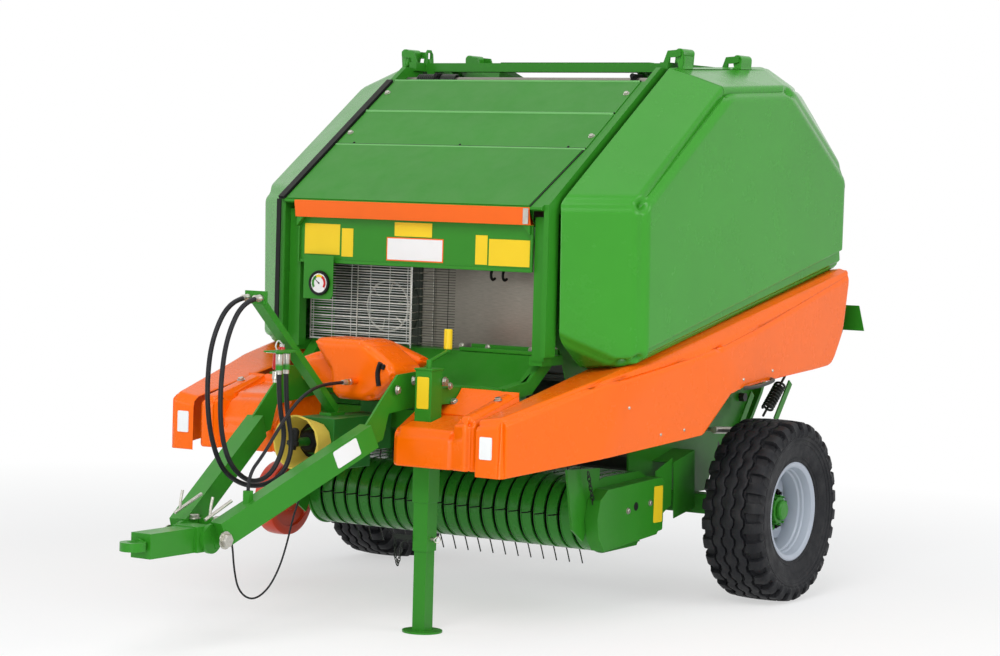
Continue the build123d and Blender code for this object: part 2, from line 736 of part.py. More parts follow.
with BuildPart() as jack_crank:
    top = JACK_HEAD_Z + GAP
    rod((JACK_X, JACK_Y, top), (JACK_X, JACK_Y, top + 34), 12)
    rod((JACK_X, JACK_Y, top + 26), (JACK_X - 60, JACK_Y + 230, top + 60), 8)
    rod((JACK_X - 60, JACK_Y + 224, top + 50), (JACK_X - 60, JACK_Y + 224, top + 150), 13)
save(jack_crank.part, "jack_crank")

# ---- front covers ----------------------------------------------------------------------------
COVER_BACK_Y = SILL_FRONT_Y - GAP
COVER_EAR_Z = SILL_Z + SILL_TUBE / 2
LOW_BLOCK = [
    (SKIRT_FRONT_Y, COVER_LOW_Z),
    (SKIRT_FRONT_Y + 230, COVER_LOW_Z + 50),
    (COVER_BACK_Y - 30, COVER_LOW_Z + 130),
    (COVER_BACK_Y, COVER_EAR_Z),
]
HIGH_BLOCK = [
    (SKIRT_FRONT_Y, COVER_HIGH_Z),
    (COVER_BACK_Y - 30, COVER_HIGH_Z + 82),
    (COVER_BACK_Y, COVER_HIGH_Z + 95),
]
SLOPED_BLOCK = [
    (SKIRT_FRONT_Y + 26, COVER_FOOT_Z + 110),
    (SKIRT_FRONT_Y + 110, COVER_HIGH_Z + 20),
    (COVER_BACK_Y - 30, COVER_HIGH_Z + 60),
    (COVER_BACK_Y, COVER_EAR_Z),
]


def cover_block(side, ends, top, mode=Mode.ADD, wall=0):
    """One length of a front cover; with a wall it is the hollow inside that length."""
    low, high = sorted((side * (ends[0] + wall), side * (ends[1] - wall)))
    front = top[0][0] + wall
    back = top[-1][0] + wall
    outline = [(front, COVER_FOOT_Z - wall)] + [(y + wall, z - wall) for y, z in top]
    outline.append((back, COVER_FOOT_Z - wall))
    plate_x(low, high - low, outline, mode=mode)


for name, side in SIDES.items():
    inner_top = LOW_BLOCK if side > 0 else SLOPED_BLOCK
    lengths = [((COVER_INNER, COVER_STEP_X), inner_top), ((COVER_STEP_X, COVER_OUTER), HIGH_BLOCK)]
    with BuildPart() as cover:
        for ends, top in lengths:
            cover_block(side, ends, top)
        for ends, top in lengths:
            cover_block(side, ends, top, mode=Mode.SUBTRACT, wall=SHELL)
        if side > 0:
            # room for the jack
            reach = JACK_OUTER / 2 + 10
            block(
                (JACK_X - reach, JACK_Y - reach, COVER_LOW_Z - 30),
                (JACK_X + reach, JACK_Y + reach, COVER_EAR_Z),
                mode=Mode.SUBTRACT,
            )
            block(
                (JACK_X - 34, JACK_Y, SILL_Z - SILL_TUBE / 2 - 4),
                (JACK_X + 34, COVER_BACK_Y + 1, COVER_EAR_Z + 1),
                mode=Mode.SUBTRACT,
            )
    save(cover.part, f"front_cover_{name}")

# ---- gearbox and its covers ------------------------------------------------------------------
GEARBOX_COVER_Z = 928
with BuildPart() as gearbox:
    block(
        (-GEARBOX_HALF, GEARBOX_Y[0], GEARBOX_Z[0]),
        (GEARBOX_HALF, GEARBOX_Y[1], GEARBOX_Z[1]),
    )
    rod((0, GEARBOX_Y[0], PTO_Z), (0, GEARBOX_Y[0] - 30, PTO_Z), 55)
    rod((0, GEARBOX_Y[0] - 30, PTO_Z), (0, PTO_FRONT_Y - 25, PTO_Z), PTO_RADIUS)
    # mount back to the front cross beam
    block((-60, GEARBOX_Y[1] - 1, 720), (60, SILL_FRONT_Y - 60, GEARBOX_Z[1]))
    block((-60, SILL_FRONT_Y - 61, 720), (60, SILL_FRONT_Y - GAP, GEARBOX_COVER_Z - 8))
    block((-60, SILL_FRONT_Y - 12, 720), (60, SILL_FRONT_Y - GAP, SILL_Z + 20))
save(gearbox.part, "gearbox")

FEED_X = 50
FEED_Z = 1012
COVER_OUTLINE = [
    (-213, 1175),
    (50, 1183),
    (77, 1134),
    (203, 1090),
    (189, 1047),
    (78, GEARBOX_COVER_Z),
    (-78, GEARBOX_COVER_Z),
    (-90, 1039),
    (-264, 1114),
    (-317, 1109),
]
with BuildPart() as gearbox_cover:
    plate_y(-700, 700 + SILL_FRONT_Y - 14, COVER_OUTLINE)
    # stub that the pressure hose leaves from, and the ledge on the front cross beam
    rod((FEED_X, -699, FEED_Z), (FEED_X, -745 + GAP, FEED_Z), 12)
    block((-70, SILL_FRONT_Y - 20, SILL_Z + 40), (60, SILL_BACK_Y, SILL_Z + 60))
    block((-70, SILL_FRONT_Y + 4, SILL_Z + SILL_TUBE / 2 + GAP), (60, SILL_BACK_Y, SILL_Z + 50))
save(gearbox_cover.part, "gearbox_cover")

GUARD_RADIUS = 112
GUARD_SIDES = 12
GUARD_FOOT_RADIUS = 78
GUARD_FOOT_Y = GEARBOX_Y[0] - GAP


def guard_corners(radius, y):
    """Corners of the drive guard's many-sided section at y."""
    turns = [radians(360 * i / GUARD_SIDES) for i in range(GUARD_SIDES)]
    return [(radius * cos(turn), y, PTO_Z + radius * sin(turn)) for turn in turns]


with BuildPart() as pto_guard:
    for wall, mode in ((0, Mode.ADD), (4, Mode.SUBTRACT)):
        with BuildPart(mode=mode):
            start_y = GUARD_FOOT_Y - 1.5 * wall
            foot = guard_corners(GUARD_FOOT_RADIUS - wall, start_y)
            mouth = guard_corners(GUARD_RADIUS - wall, PTO_FRONT_Y - wall)
            with BuildSketch(Plane(origin=(0, start_y, PTO_Z), x_dir=(1, 0, 0), z_dir=(0, -1, 0))):
                RegularPolygon(GUARD_RADIUS, GUARD_SIDES)
            extrude(amount=start_y - PTO_FRONT_Y + wall)
            for i in range(GUARD_SIDES):
                cut_flat(foot[i - 1], foot[i], mouth[i], (0, start_y - 50, PTO_Z))
    rod((0, GUARD_FOOT_Y + 1, PTO_Z), (0, GUARD_FOOT_Y - 10, PTO_Z), 62, mode=Mode.SUBTRACT)
save(pto_guard.part, "pto_guard")

HOLDER_X = -30
HOLDER_FOOT_Z = GEARBOX_Z[1] + GAP
HOLDER_HEAD = (-1275, 1362)
RACK_Z = 1150
HOSE_SIZE = 20
FEED_SIZE = 14
CABLE_SIZE = 8
COUPLING_FOOT_Z = 1080
OUTER_END = (40, -1165)
INNER_END = (50, -1224)
with BuildPart() as hose_holder:
    bar((HOLDER_X, -745, HOLDER_FOOT_Z + 20), (HOLDER_X, *HOLDER_HEAD), 50, 30)
    block((HOLDER_X - 30, -800, HOLDER_FOOT_Z), (HOLDER_X + 30, -705, HOLDER_FOOT_Z + 12))
    # clip plate that both large hoses leave from
    block((-84, -1284, 1342), (24, -1276, 1394))
    # parking rack for the couplings on the side of the channel
    block((HOLDER_X + 20, -1250, RACK_Z), (HOLDER_X + 105, -1140, RACK_Z + 6))
    block((HOLDER_X + 20, -1160, RACK_Z), (HOLDER_X + 30, -1040, RACK_Z + 6))
    for x, y in (OUTER_END, INNER_END):
        rod((x, y, RACK_Z + 1), (x, y, COUPLING_FOOT_Z + GAP), 15)
save(hose_holder.part, "hose_holder")

OUTER_HOSE = [
    (-60, -1284 - GAP, 1366),
    (-60, -1400, 1366),
    (-58, -1520, 1215),
    (-50, -1556, 1020),
    (-40, -1540, 830),
    (-30, -1465, 680),
    (-15, -1310, 610),
    (40, -1190, 640),
    (60, -1130, 760),
    (*OUTER_END, 950),
    (*OUTER_END, COUPLING_FOOT_Z),
]
INNER_HOSE = [
    (0, -1284 - GAP, 1366),
    (0, -1392, 1366),
    (0, -1500, 1225),
    (5, -1540, 1030),
    (12, -1540, 850),
    (22, -1490, 715),
    (34, -1370, 636),
    (42, -1240, 665),
    (48, -1165, 800),
    (*INNER_END, 950),
    (*INNER_END, COUPLING_FOOT_Z),
]
FEED_HOSE = [
    (FEED_X, -745, FEED_Z),
    (FEED_X, -900, FEED_Z),
    (85, -1050, 1000),
    (110, -1185, 955),
    (124, -1310, 865),
    (130, -1415, 765),
    (132, -1512, 692),
    (132, -1512, 630),
]
CABLE = [
    (-50, -1500 + GAP, 495),
    (-50, -1420, 488),
    (-50, -1372, 400),
    (-50, -1358, 290),
    (-50, -1325, 195),
    (-50, -1235, 148),
    (-50, -1135, 180),
    (-50, -1060, 262),
    (-50, -1012, 360),
    (-50, -975, 465),
    (-50, -925, 555),
    (-50, -862, 600),
    (-50, -862, GEARBOX_Z[0] - GAP),
]
with BuildPart() as hose_outer:
    hose(OUTER_HOSE, HOSE_SIZE)
save(hose_outer.part, "hose_outer")
with BuildPart() as hose_inner:
    hose(INNER_HOSE, HOSE_SIZE)
save(hose_inner.part, "hose_inner")
with BuildPart() as hose_feed:
    hose(FEED_HOSE, FEED_SIZE)
save(hose_feed.part, "hose_feed")
with BuildPart() as light_cable:
    hose(CABLE, CABLE_SIZE)
save(light_cable.part, "light_cable")

# ---- front compartment -----------------------------------------------------------------------
MESH_Y = -150
MESH_X = (-WALL_X, -60)
MESH_Z = (1142, RECESS_FOOT_Z + 4)
MESH_WIRE = 4
MESH_PITCH = 34
with BuildPart() as mesh_guard:
    half = MESH_WIRE / 2
    rows = int((MESH_Z[1] - MESH_Z[0]) / MESH_PITCH)
    for row in range(rows + 1):
        z = MESH_Z[0] + row * MESH_PITCH
        block((MESH_X[0], MESH_Y - half, z - half), (MESH_X[1], MESH_Y + half, z + half))
        block((MESH_X[1] - MESH_WIRE, MESH_Y, z - half), (MESH_X[1], SHELF_Y[1] - 12, z + half))
    for x in (MESH_X[0] + 2, -345, MESH_X[1] - 3):
        block((x - half, MESH_Y - 5, MESH_Z[0] - 5), (x + half, MESH_Y - 1.5, MESH_Z[1]))
    y = SHELF_Y[1] - 14
    block((MESH_X[1] - 7, y - half, SHELF_Z + GAP), (MESH_X[1] - 3.5, y + half, MESH_Z[1]))
save(mesh_guard.part, "mesh_guard")

SHEET_Y = SHELF_Y[1] - 4
with BuildPart() as back_sheet:
    block((-SILL_HALF, SHEET_Y, SHELF_Z + GAP), (SILL_HALF, SHEET_Y + 3, RECESS_FOOT_Z + 120))
save(back_sheet.part, "back_sheet")

with BuildPart() as round_cover:
    rod((-WALL_X / 2, 10, 1290), (-WALL_X / 2, SHEET_Y - GAP, 1290), 160)
save(round_cover.part, "round_cover")

with BuildPart() as gauge:
    front = RECESS_Y - GAP - SHEET
    dial_x = -WALL_X + 97
    dial_z = RECESS_FOOT_Z - 93
    block((-WALL_X + 20, front, dial_z - 67), (-WALL_X + 160, RECESS_Y - GAP, dial_z + 123))
    rod((dial_x, front + 1, dial_z), (dial_x, front - 36, dial_z), 44)
save(gauge.part, "gauge")

with BuildPart() as top_roller:
    y, z = TOP_ROLLER
    rod((-FRONT_HALF, y, z), (FRONT_HALF, y, z), TOP_ROLLER_RADIUS)
save(top_roller.part, "top_roller")

# ---- side doors ------------------------------------------------------------------------------
DOOR_FRONT = [(-190, 1200), (-206, ROOF_Z - 583)]
DOOR_CREST = [(CHAMBER_Y - 325, ROOF_Z + 17), (CHAMBER_Y + 590, ROOF_Z + 66)]
DOOR_REAR_Y = CHAMBER_Y + 960
DOOR_REAR = [(DOOR_REAR_Y - 5, ROOF_Z - 35), (DOOR_REAR_Y, ROOF_Z - 500)]
DOOR_REAR_FOOT = (DOOR_REAR_Y, 1400)
DOOR_FRONT_FOOT = (14, 1060)
FACE_FRONT = (0, ROOF_Z - 588)
FACE_CREST_FRONT = (CHAMBER_Y - 290, ROOF_Z - 80)
FACE_CREST_REAR = (CHAMBER_Y + 319, ROOF_Z - 49)
FACE_REAR = (DOOR_REAR_Y - 80, ROOF_Z - 409)
FACE_REAR_LOW = (DOOR_REAR_Y - 27, ROOF_Z - 523)
MIDDLE = (WALL_X + 200, 900, 1700)


def at(x, point):
    """A (y, z) point placed at x."""
    return (x, point[0], point[1])


def cut_parting(inset=0):
    """Keep what lies above the plane between a side door and its skirt."""
    cut_flat(
        (DOOR_OUTER, 0, door_foot_z(0)),
        (DOOR_OUTER, 1900, door_foot_z(1900)),
        (DOOR_INNER, 0, door_foot_z(0, DOOR_INNER)),
        MIDDLE,
        inset,
    )


def cut_bevels(inset=0):
    """Cut the bevelled edges of a side door, moved inwards by inset."""
    slope_mid = (
        (FACE_FRONT[0] + FACE_CREST_FRONT[0]) / 2,
        (FACE_FRONT[1] + FACE_CREST_FRONT[1]) / 2,
    )
    crest_mid = (
        (FACE_CREST_FRONT[0] + FACE_CREST_REAR[0]) / 2,
        (FACE_CREST_FRONT[1] + FACE_CREST_REAR[1]) / 2,
    )
    planes = [
        (at(DOOR_INNER, DOOR_FRONT[0]), at(DOOR_INNER, DOOR_FRONT[1]), at(DOOR_OUTER, FACE_FRONT)),
        (at(DOOR_INNER, DOOR_FRONT[1]), at(DOOR_INNER, DOOR_CREST[0]), at(DOOR_OUTER, slope_mid)),
        (at(DOOR_INNER, DOOR_CREST[0]), at(DOOR_INNER, DOOR_CREST[1]), at(DOOR_OUTER, crest_mid)),
        (at(DOOR_INNER, DOOR_CREST[1]), at(DOOR_INNER, DOOR_REAR[0]), at(DOOR_OUTER, FACE_CREST_REAR)),
        (at(DOOR_OUTER, FACE_CREST_REAR), at(DOOR_OUTER, FACE_REAR), at(DOOR_INNER, DOOR_REAR[0])),
        (at(DOOR_OUTER, FACE_REAR), at(DOOR_OUTER, FACE_REAR_LOW), at(DOOR_INNER, DOOR_REAR[0])),
        (at(DOOR_OUTER, FACE_REAR_LOW), at(DOOR_OUTER, (DOOR_REAR_Y - 18, ROOF_Z - 856)), at(DOOR_INNER, DOOR_REAR[1])),
    ]
    for a, b, c in planes:
        cut_flat(a, b, c, MIDDLE, inset)


def cut_groove(inset=0):
    """Set the lowest strip of the door's main face back, down to its lower edge."""
    y, z = GROOVE_FRONT
    rear = DOOR_REAR_Y + 90
    outline = [
        (y - inset, 900),
        (y - inset, z + inset),
        (rear, z + inset + (rear - y) * GROOVE_RISE),
        (rear, 900),
    ]
    plate_x(DOOR_OUTER - GROOVE_DEPTH - inset, 80, outline, mode=Mode.SUBTRACT)


DOOR_OUTLINE = [DOOR_FRONT_FOOT] + DOOR_FRONT + DOOR_CREST + DOOR_REAR + [DOOR_REAR_FOOT]
with BuildPart() as door_hollow:
    with BuildSketch(Plane.YZ.offset(DOOR_INNER - 5)) as section:
        Polygon(*DOOR_OUTLINE, align=None)
        offset(amount=-SHELL, kind=Kind.INTERSECTION)
    extrude(section.sketch, amount=DOOR_OUTER - SHELL - DOOR_INNER + 5)
    cut_bevels(SHELL)
    cut_parting(SHELL)
    cut_groove(SHELL)
with BuildPart() as door_shape:
    plate_x(DOOR_INNER, DOOR_OUTER - DOOR_INNER, DOOR_OUTLINE)
    cut_bevels()
    cut_parting()
    add(door_hollow.part, mode=Mode.SUBTRACT)
    cut_groove()
    for y in HINGE_YS:
        # knuckle on its bracket
        half = HINGE_LENGTH / 2
        knuckle = [
            (HINGE_X - 10, HINGE_Z - 75),
            (HINGE_X + 16, HINGE_Z - 75),
            (HINGE_X + 22, HINGE_Z - 10),
            (HINGE_X + 22, HINGE_Z + 10),
            (HINGE_X + 10, HINGE_Z + 22),
            (HINGE_X - 10, HINGE_Z + 22),
            (HINGE_X - 22, HINGE_Z + 10),
            (HINGE_X - 22, HINGE_Z - 10),
        ]
        plate_y(y - half, 2 * half, knuckle)
        rod(
            (HINGE_X, y - half - 1, HINGE_Z),
            (HINGE_X, y + half + 1, HINGE_Z),
            HINGE_PIN + PIN_PLAY,
            mode=Mode.SUBTRACT,
        )
for name, side in SIDES.items():
    with BuildPart() as door:
        add(door_shape.part if side > 0 else door_shape.part.mirror(Plane.YZ))
    save(door.part, f"door_{name}")

SKIRT_SIDE = [
    (SKIRT_FRONT_Y, 676),
    (AXLE_Y - 599, 782),
    (AXLE_Y - 406, 946),
    (AXLE_Y - 320, 969),
    (AXLE_Y + 103, 998),
    (AXLE_Y + 553, 1036),
    (AXLE_Y + 590, 1057),
    (AXLE_Y + 684, 1191),
    (AXLE_Y + 725, 1390),
    (AXLE_Y + 735, 1600),
    (SKIRT_FRONT_Y, 1600),
]
SKIRT_FRONT_X = SKIRT_OUTER - 225
SKIRT_REAR_Y = AXLE_Y + 740
SKIRT_PLAN = [
    (DOOR_INNER, SKIRT_FRONT_Y),
    (SKIRT_FRONT_X, SKIRT_FRONT_Y),
    (SKIRT_FRONT_X + 25, SKIRT_FRONT_Y + 20),
    (SKIRT_OUTER - 80, -100),
    (SKIRT_OUTER - 10, AXLE_Y - 600),
    (SKIRT_OUTER, AXLE_Y - 150),
    (SKIRT_OUTER, SKIRT_REAR_Y),
    (DOOR_INNER, SKIRT_REAR_Y),
]
SKIRT_HOLLOW = [
    (DOOR_INNER - 5, SKIRT_FRONT_Y + SHELL),
    (SKIRT_FRONT_X - 2, SKIRT_FRONT_Y + SHELL),
    (SKIRT_FRONT_X + 25 - SHELL, SKIRT_FRONT_Y + 22),
    (SKIRT_OUTER - 80 - SHELL, -100),
    (SKIRT_OUTER - 10 - SHELL, AXLE_Y - 600),
    (SKIRT_OUTER - SHELL, AXLE_Y - 150),
    (SKIRT_OUTER - SHELL, SKIRT_REAR_Y - 12),
    (DOOR_INNER - 5, SKIRT_REAR_Y - 12),
]
CREASE_IN = 24            # how far the skirt stands in at the front of the wheel arch
FLOOR_Z = 600


def cut_skirt(inset=0):
    """Cut the skirt's upper edge, its outer chamfer and the side below the crease."""
    drop = GAP + inset
    cut_flat(
        (DOOR_OUTER, 0, door_foot_z(0) - drop),
        (DOOR_OUTER, 1900, door_foot_z(1900) - drop),
        (DOOR_INNER, 0, door_foot_z(0, DOOR_INNER) - drop),
        (SKIRT_FRONT_X, 0, FLOOR_Z),
    )
    x, y = SKIRT_OUTER - 80, -100
    edge = door_foot_z(y, x)
    far = door_foot_z(1900, SKIRT_OUTER - 28)
    cut_flat(
        (x - 28, y, edge),
        (x, y, edge - 28),
        (SKIRT_OUTER - 28, 1900, far),
        (SKIRT_FRONT_X, 0, FLOOR_Z),
        inset,
    )
    cut_flat(
        (SKIRT_OUTER - 73, -41, 929),
        (SKIRT_OUTER - 4, AXLE_Y - 342, 965),
        (SKIRT_OUTER - 10 - CREASE_IN, AXLE_Y - 599, 782),
        (SKIRT_FRONT_X, 0, FLOOR_Z + 300),
        inset,
    )


with BuildPart() as skirt_hollow:
    with BuildSketch(Plane.XY.offset(FLOOR_Z)) as plan:
        Polygon(*SKIRT_HOLLOW, align=None)
    extrude(plan.sketch, amount=1100)
    cut_skirt(SHELL)
with BuildPart() as skirt_shape:
    with BuildSketch(Plane.XY.offset(FLOOR_Z)) as plan:
        Polygon(*SKIRT_PLAN, align=None)
    extrude(plan.sketch, amount=1100)
    with BuildSketch(Plane.YZ.offset(DOOR_INNER - 20)) as elevation:
        Polygon(*SKIRT_SIDE, align=None)
    extrude(elevation.sketch, amount=400, mode=Mode.INTERSECT)
    cut_skirt()
    add(skirt_hollow.part, mode=Mode.SUBTRACT)
for name, side in SIDES.items():
    with BuildPart() as skirt:
        add(skirt_shape.part if side > 0 else skirt_shape.part.mirror(Plane.YZ))
    save(skirt.part, f"skirt_{name}")

# ---- tailgate --------------------------------------------------------------------------------
RIM_OUT = ROLLER_RING + ROLLER_RADIUS + 20
RIM_IN = RIM_OUT - 22
GATE_FRONT_TOP_Y = SPLIT_TOP_Y + SPLIT_GAP
GATE_FRONT_FOOT_Y = SPLIT_FOOT_Y + SPLIT_GAP
GATE_FOOT_Z = ring_point(-60, RIM_OUT)[1]


def gate_outline(radius, low=-60, high=78, count=17):
    """Points of the tailgate's round side, from the foot to the top."""
    step = (high - low) / (count - 1)
    return [ring_point(low + i * step, radius) for i in range(count)]


with BuildPart() as tailgate:
    for side in SIDES.values():
        inner = min(side * WALL_X, side * (WALL_X + SHEET))
        front = [(GATE_FRONT_TOP_Y + 6, GATE_HINGE_Z - 45), (GATE_FRONT_TOP_Y + 6, ROOF_Z - 120)]
        front += [(GATE_FRONT_FOOT_Y, ROOF_Z - 210), (GATE_FRONT_FOOT_Y, GATE_FOOT_Z)]
        plate_x(inner, SHEET, front + gate_outline(RIM_OUT))
        # rim flange round the side wall
        low = min(side * (WALL_X + SHEET - 1), side * (WALL_X + RIM_DEPTH))
        ring = gate_outline(RIM_OUT) + list(reversed(gate_outline(RIM_IN)))
        plate_x(low, RIM_DEPTH - SHEET + 1, ring)
        shafts(inner, SHEET, GATE_ANGLES, PIN_PLAY, mode=Mode.SUBTRACT)
        # lug on the hinge pin, and the arm out to the rear bar
        x = side * GATE_LUG_X
        with BuildSketch(Plane.YZ.offset(x - 14)) as section:
            with Locations((GATE_HINGE_Y, GATE_HINGE_Z)):
                Circle(26)
            Polygon(
                (GATE_HINGE_Y + 10, GATE_HINGE_Z - 24),
                (GATE_HINGE_Y + 10, GATE_HINGE_Z + 24),
                (GATE_HINGE_Y + 230, GATE_HINGE_Z),
                (GATE_HINGE_Y + 230, GATE_HINGE_Z - 50),
                align=None,
            )
            with Locations((GATE_HINGE_Y, GATE_HINGE_Z)):
                Circle(GATE_PIN + PIN_PLAY, mode=Mode.SUBTRACT)
        extrude(section.sketch, amount=28)
        low = min(side * (WALL_X + SHEET - 1), side * (WALL_X + RIM_DEPTH))
        block(
            (low, REAR_BAR_Y - 90, REAR_BAR_Z[0] + 20),
            (low + RIM_DEPTH - SHEET + 1, REAR_BAR_Y - GAP, REAR_BAR_Z[1] - 20),
        )
    # top cross tube between the two walls
    block(
        (-WALL_X, GATE_HINGE_Y + 180, GATE_HINGE_Z - 55),
        (WALL_X, GATE_HINGE_Y + 240, GATE_HINGE_Z),
    )
save(tailgate.part, "tailgate")

with BuildPart() as tailgate_rollers:
    rollers(GATE_ANGLES)
save(tailgate_rollers.part, "tailgate_rollers")

with BuildPart() as rear_bar:
    low, high = REAR_BAR_Z
    inner = REAR_BAR_HALF - 175
    block((-inner - 20, REAR_BAR_Y, low + 25), (inner + 20, REAR_BAR_Y + 60, high - 25))
    for side in SIDES.values():
        outline = [
            (side * inner, low),
            (side * REAR_BAR_HALF, low),
            (side * (REAR_BAR_HALF - 30), high),
            (side * inner, high),
        ]
        plate_y(REAR_BAR_Y + 56, SHEET, outline)
        block(
            (min(side * inner, side * (inner + 6)), REAR_BAR_Y, low),
            (max(side * inner, side * (inner + 6)), REAR_BAR_Y + 57, high),
        )
        block(
            (min(side * (WALL_X - 40), side * (WALL_X + 100)), REAR_BAR_Y + 55, low + 10),
            (max(side * (WALL_X - 40), side * (WALL_X + 100)), REAR_END_Y, high - 10),
        )
save(rear_bar.part, "rear_bar")

# ---- pickup ----------------------------------------------------------------------------------
BAND_FIRST_X = -(BAND_COUNT - 1) * BAND_PITCH / 2
BAND_XS = [BAND_FIRST_X + i * BAND_PITCH for i in range(BAND_COUNT)]
TINE_XS = [x + BAND_PITCH / 2 for x in BAND_XS[:-1]]
SIDE_X = PICKUP_HALF - PLATE


def reel_point(angle, radius):
    """(y, z) of a point on a circle about the pickup reel's axis."""
    return (REEL_Y + radius * cos(radians(angle)), REEL_Z + radius * sin(radians(angle)))


def band_profile(radius):
    """Side view of one stripper band's surface, from the top rear round the front."""
    points = [(PICKUP_REAR_Y, REEL_Z + radius + 6)]
    points += [reel_point(90 + 20 * i, radius) for i in range(10)]
    points += [(PICKUP_REAR_Y, REEL_Z - radius + 8)]
    return points


with BuildPart() as strippers:
    profile = band_profile(BAND_RADIUS) + list(reversed(band_profile(BAND_RADIUS - BAND_THICK)))
    starts = [Plane.YZ.offset(x - BAND_WIDTH / 2) for x in BAND_XS]
    with BuildSketch(*starts) as section:
        Polygon(*profile, align=None)
    extrude(section.sketch, amount=BAND_WIDTH)
    rear_top = REEL_Z + BAND_RADIUS + 6
    rear_foot = REEL_Z - BAND_RADIUS + 8
    half = SIDE_X - GAP
    block((-half, PICKUP_REAR_Y - 4, rear_top - 30), (half, PICKUP_REAR_Y + 2, rear_top))
    block((-half, PICKUP_REAR_Y - 4, rear_foot), (half, PICKUP_REAR_Y + 2, rear_foot + 30))
    for side in SIDES.values():
        # wide end hoods
        edge = side * (BAND_XS[-1] + BAND_WIDTH / 2 + 18)
        low, high = sorted((edge, side * half))
        plate_x(low, high - low, profile)
save(strippers.part, "strippers")

with BuildPart() as pickup_frame:
    for side in SIDES.values():
        low, high = sorted((side * SIDE_X, side * PICKUP_HALF))
        with BuildSketch(Plane.YZ.offset(low)) as section:
            with Locations((REEL_Y, REEL_Z)):
                Circle(BAND_RADIUS + 6)
            Polygon(
                (REEL_Y, REEL_Z + BAND_RADIUS + 6),
                (PICKUP_REAR_Y + 10, REEL_Z + BAND_RADIUS + 10),
                (PICKUP_PIVOT_Y + 40, PICKUP_PIVOT_Z + 50),
                (PICKUP_PIVOT_Y + 40, PICKUP_PIVOT_Z - 40),
                (PICKUP_REAR_Y + 10, REEL_Z - BAND_RADIUS),
                (REEL_Y, REEL_Z - BAND_RADIUS - 6),
                align=None,
            )
            with Locations((REEL_Y, REEL_Z)):
                Circle(REEL_SHAFT + PIN_PLAY, mode=Mode.SUBTRACT)
        extrude(section.sketch, amount=high - low)
        # wing that stands forward over the drive
        wing = [(-126, 657), (-71, 399), (22, 340), (69, 440), (100, 540), (145, 600), (145, 645)]
        plate_x(low, high - low, wing)
        # pivot pin into the chassis plate
        pin_in = side * (SUPPORT_X - PLATE / 2 - 6)
        rod(
            (pin_in, PICKUP_PIVOT_Y, PICKUP_PIVOT_Z),
            (side * (PICKUP_HALF - 1), PICKUP_PIVOT_Y, PICKUP_PIVOT_Z),
            PICKUP_PIN,
        )
    # cross tube behind the bands
    block(
        (-SIDE_X - 1, PICKUP_REAR_Y + 2 + GAP, REEL_Z - BAND_RADIUS + 12),
        (SIDE_X + 1, PICKUP_REAR_Y + 52, REEL_Z - BAND_RADIUS + 62),
    )
    block(
        (-SIDE_X - 1, PICKUP_REAR_Y + 2 + GAP, rear_top - 30),
        (SIDE_X + 1, PICKUP_REAR_Y + 14, rear_top),
    )
    # arm and stub of the gauge wheel on the right side
    block((-SIDE_X - 60, 250, 430), (-SIDE_X - 8, 310, 470))
    block((-SIDE_X - 90, 90, 430), (-SIDE_X - 50, 310, 470))
    bar((-SIDE_X - 70, 110, 450), (-SIDE_X - 70, GAUGE_WHEEL_Y, GAUGE_WHEEL_Z), 40, 36)
    rod(
        (-SIDE_X - 60, GAUGE_WHEEL_Y, GAUGE_WHEEL_Z),
        (GAUGE_WHEEL_X - GAUGE_WHEEL_WIDTH / 2 - 12, GAUGE_WHEEL_Y, GAUGE_WHEEL_Z),
        GAUGE_STUB,
    )
save(pickup_frame.part, "pickup_frame")

with BuildPart() as tine_reel:
    rod((-PICKUP_HALF, REEL_Y, REEL_Z), (PICKUP_HALF, REEL_Y, REEL_Z), REEL_SHAFT)
    roots = [reel_point(45 + i * 360 / TINE_BARS, TINE_BAR_RING) for i in range(TINE_BARS)]
    with BuildSketch(Plane.YZ.offset(-SIDE_X + 25)) as section:
        with Locations(*roots):
            RegularPolygon(14, 6)
    extrude(section.sketch, amount=2 * SIDE_X - 50)
    starts = [Plane.YZ.offset(x - TINE_SIZE / 2) for x in TINE_XS]
    for turn in range(TINE_BARS):
        angle = 45 + turn * 360 / TINE_BARS
        foot = [reel_point(angle + swing, TINE_BAR_RING) for swing in (-2, 2)]
        tip = [reel_point(angle + swing, TINE_REACH) for swing in (13, 11.6)]
        with BuildSketch(*starts) as section:
            Polygon(*foot, *tip, align=None)
        extrude(section.sketch, amount=TINE_SIZE)
    for x in (-SIDE_X + 30, 0, SIDE_X - 40):
        with BuildSketch(Plane.YZ.offset(x)) as section:
            with Locations((REEL_Y, REEL_Z)):
                RegularPolygon(TINE_BAR_RING + 26, 8, rotation=22.5)
        extrude(section.sketch, amount=8)
save(tine_reel.part, "tine_reel")

with BuildPart() as pickup_shield:
    shield = [
        (28, 440),
        (40, 360),
        (90, 297),
        (540, 330),
        (594, 380),
        (594, 560),
        (560, 580),
        (110, 560),
        (50, 520),
    ]
    plate_x(PICKUP_HALF + GAP, SHIELD_X - PICKUP_HALF - GAP, shield)
save(pickup_shield.part, "pickup_shield")

with BuildPart() as gauge_wheel:
    with BuildSketch(Plane.XY) as profile:
        half = GAUGE_WHEEL_WIDTH / 2
        with BuildLine():
            Polyline(
                (-half, GAUGE_STUB + PIN_PLAY),
                (-half, GAUGE_WHEEL_RADIUS - 12),
                (-half + 12, GAUGE_WHEEL_RADIUS),
                (half - 12, GAUGE_WHEEL_RADIUS),
                (half, GAUGE_WHEEL_RADIUS - 12),
                (half, GAUGE_STUB + PIN_PLAY),
                close=True,
            )
        make_face()
    revolve(axis=Axis.X)
gauge_wheel.part = gauge_wheel.part.moved(Location((GAUGE_WHEEL_X, GAUGE_WHEEL_Y, GAUGE_WHEEL_Z)))
save(gauge_wheel.part, "gauge_wheel")
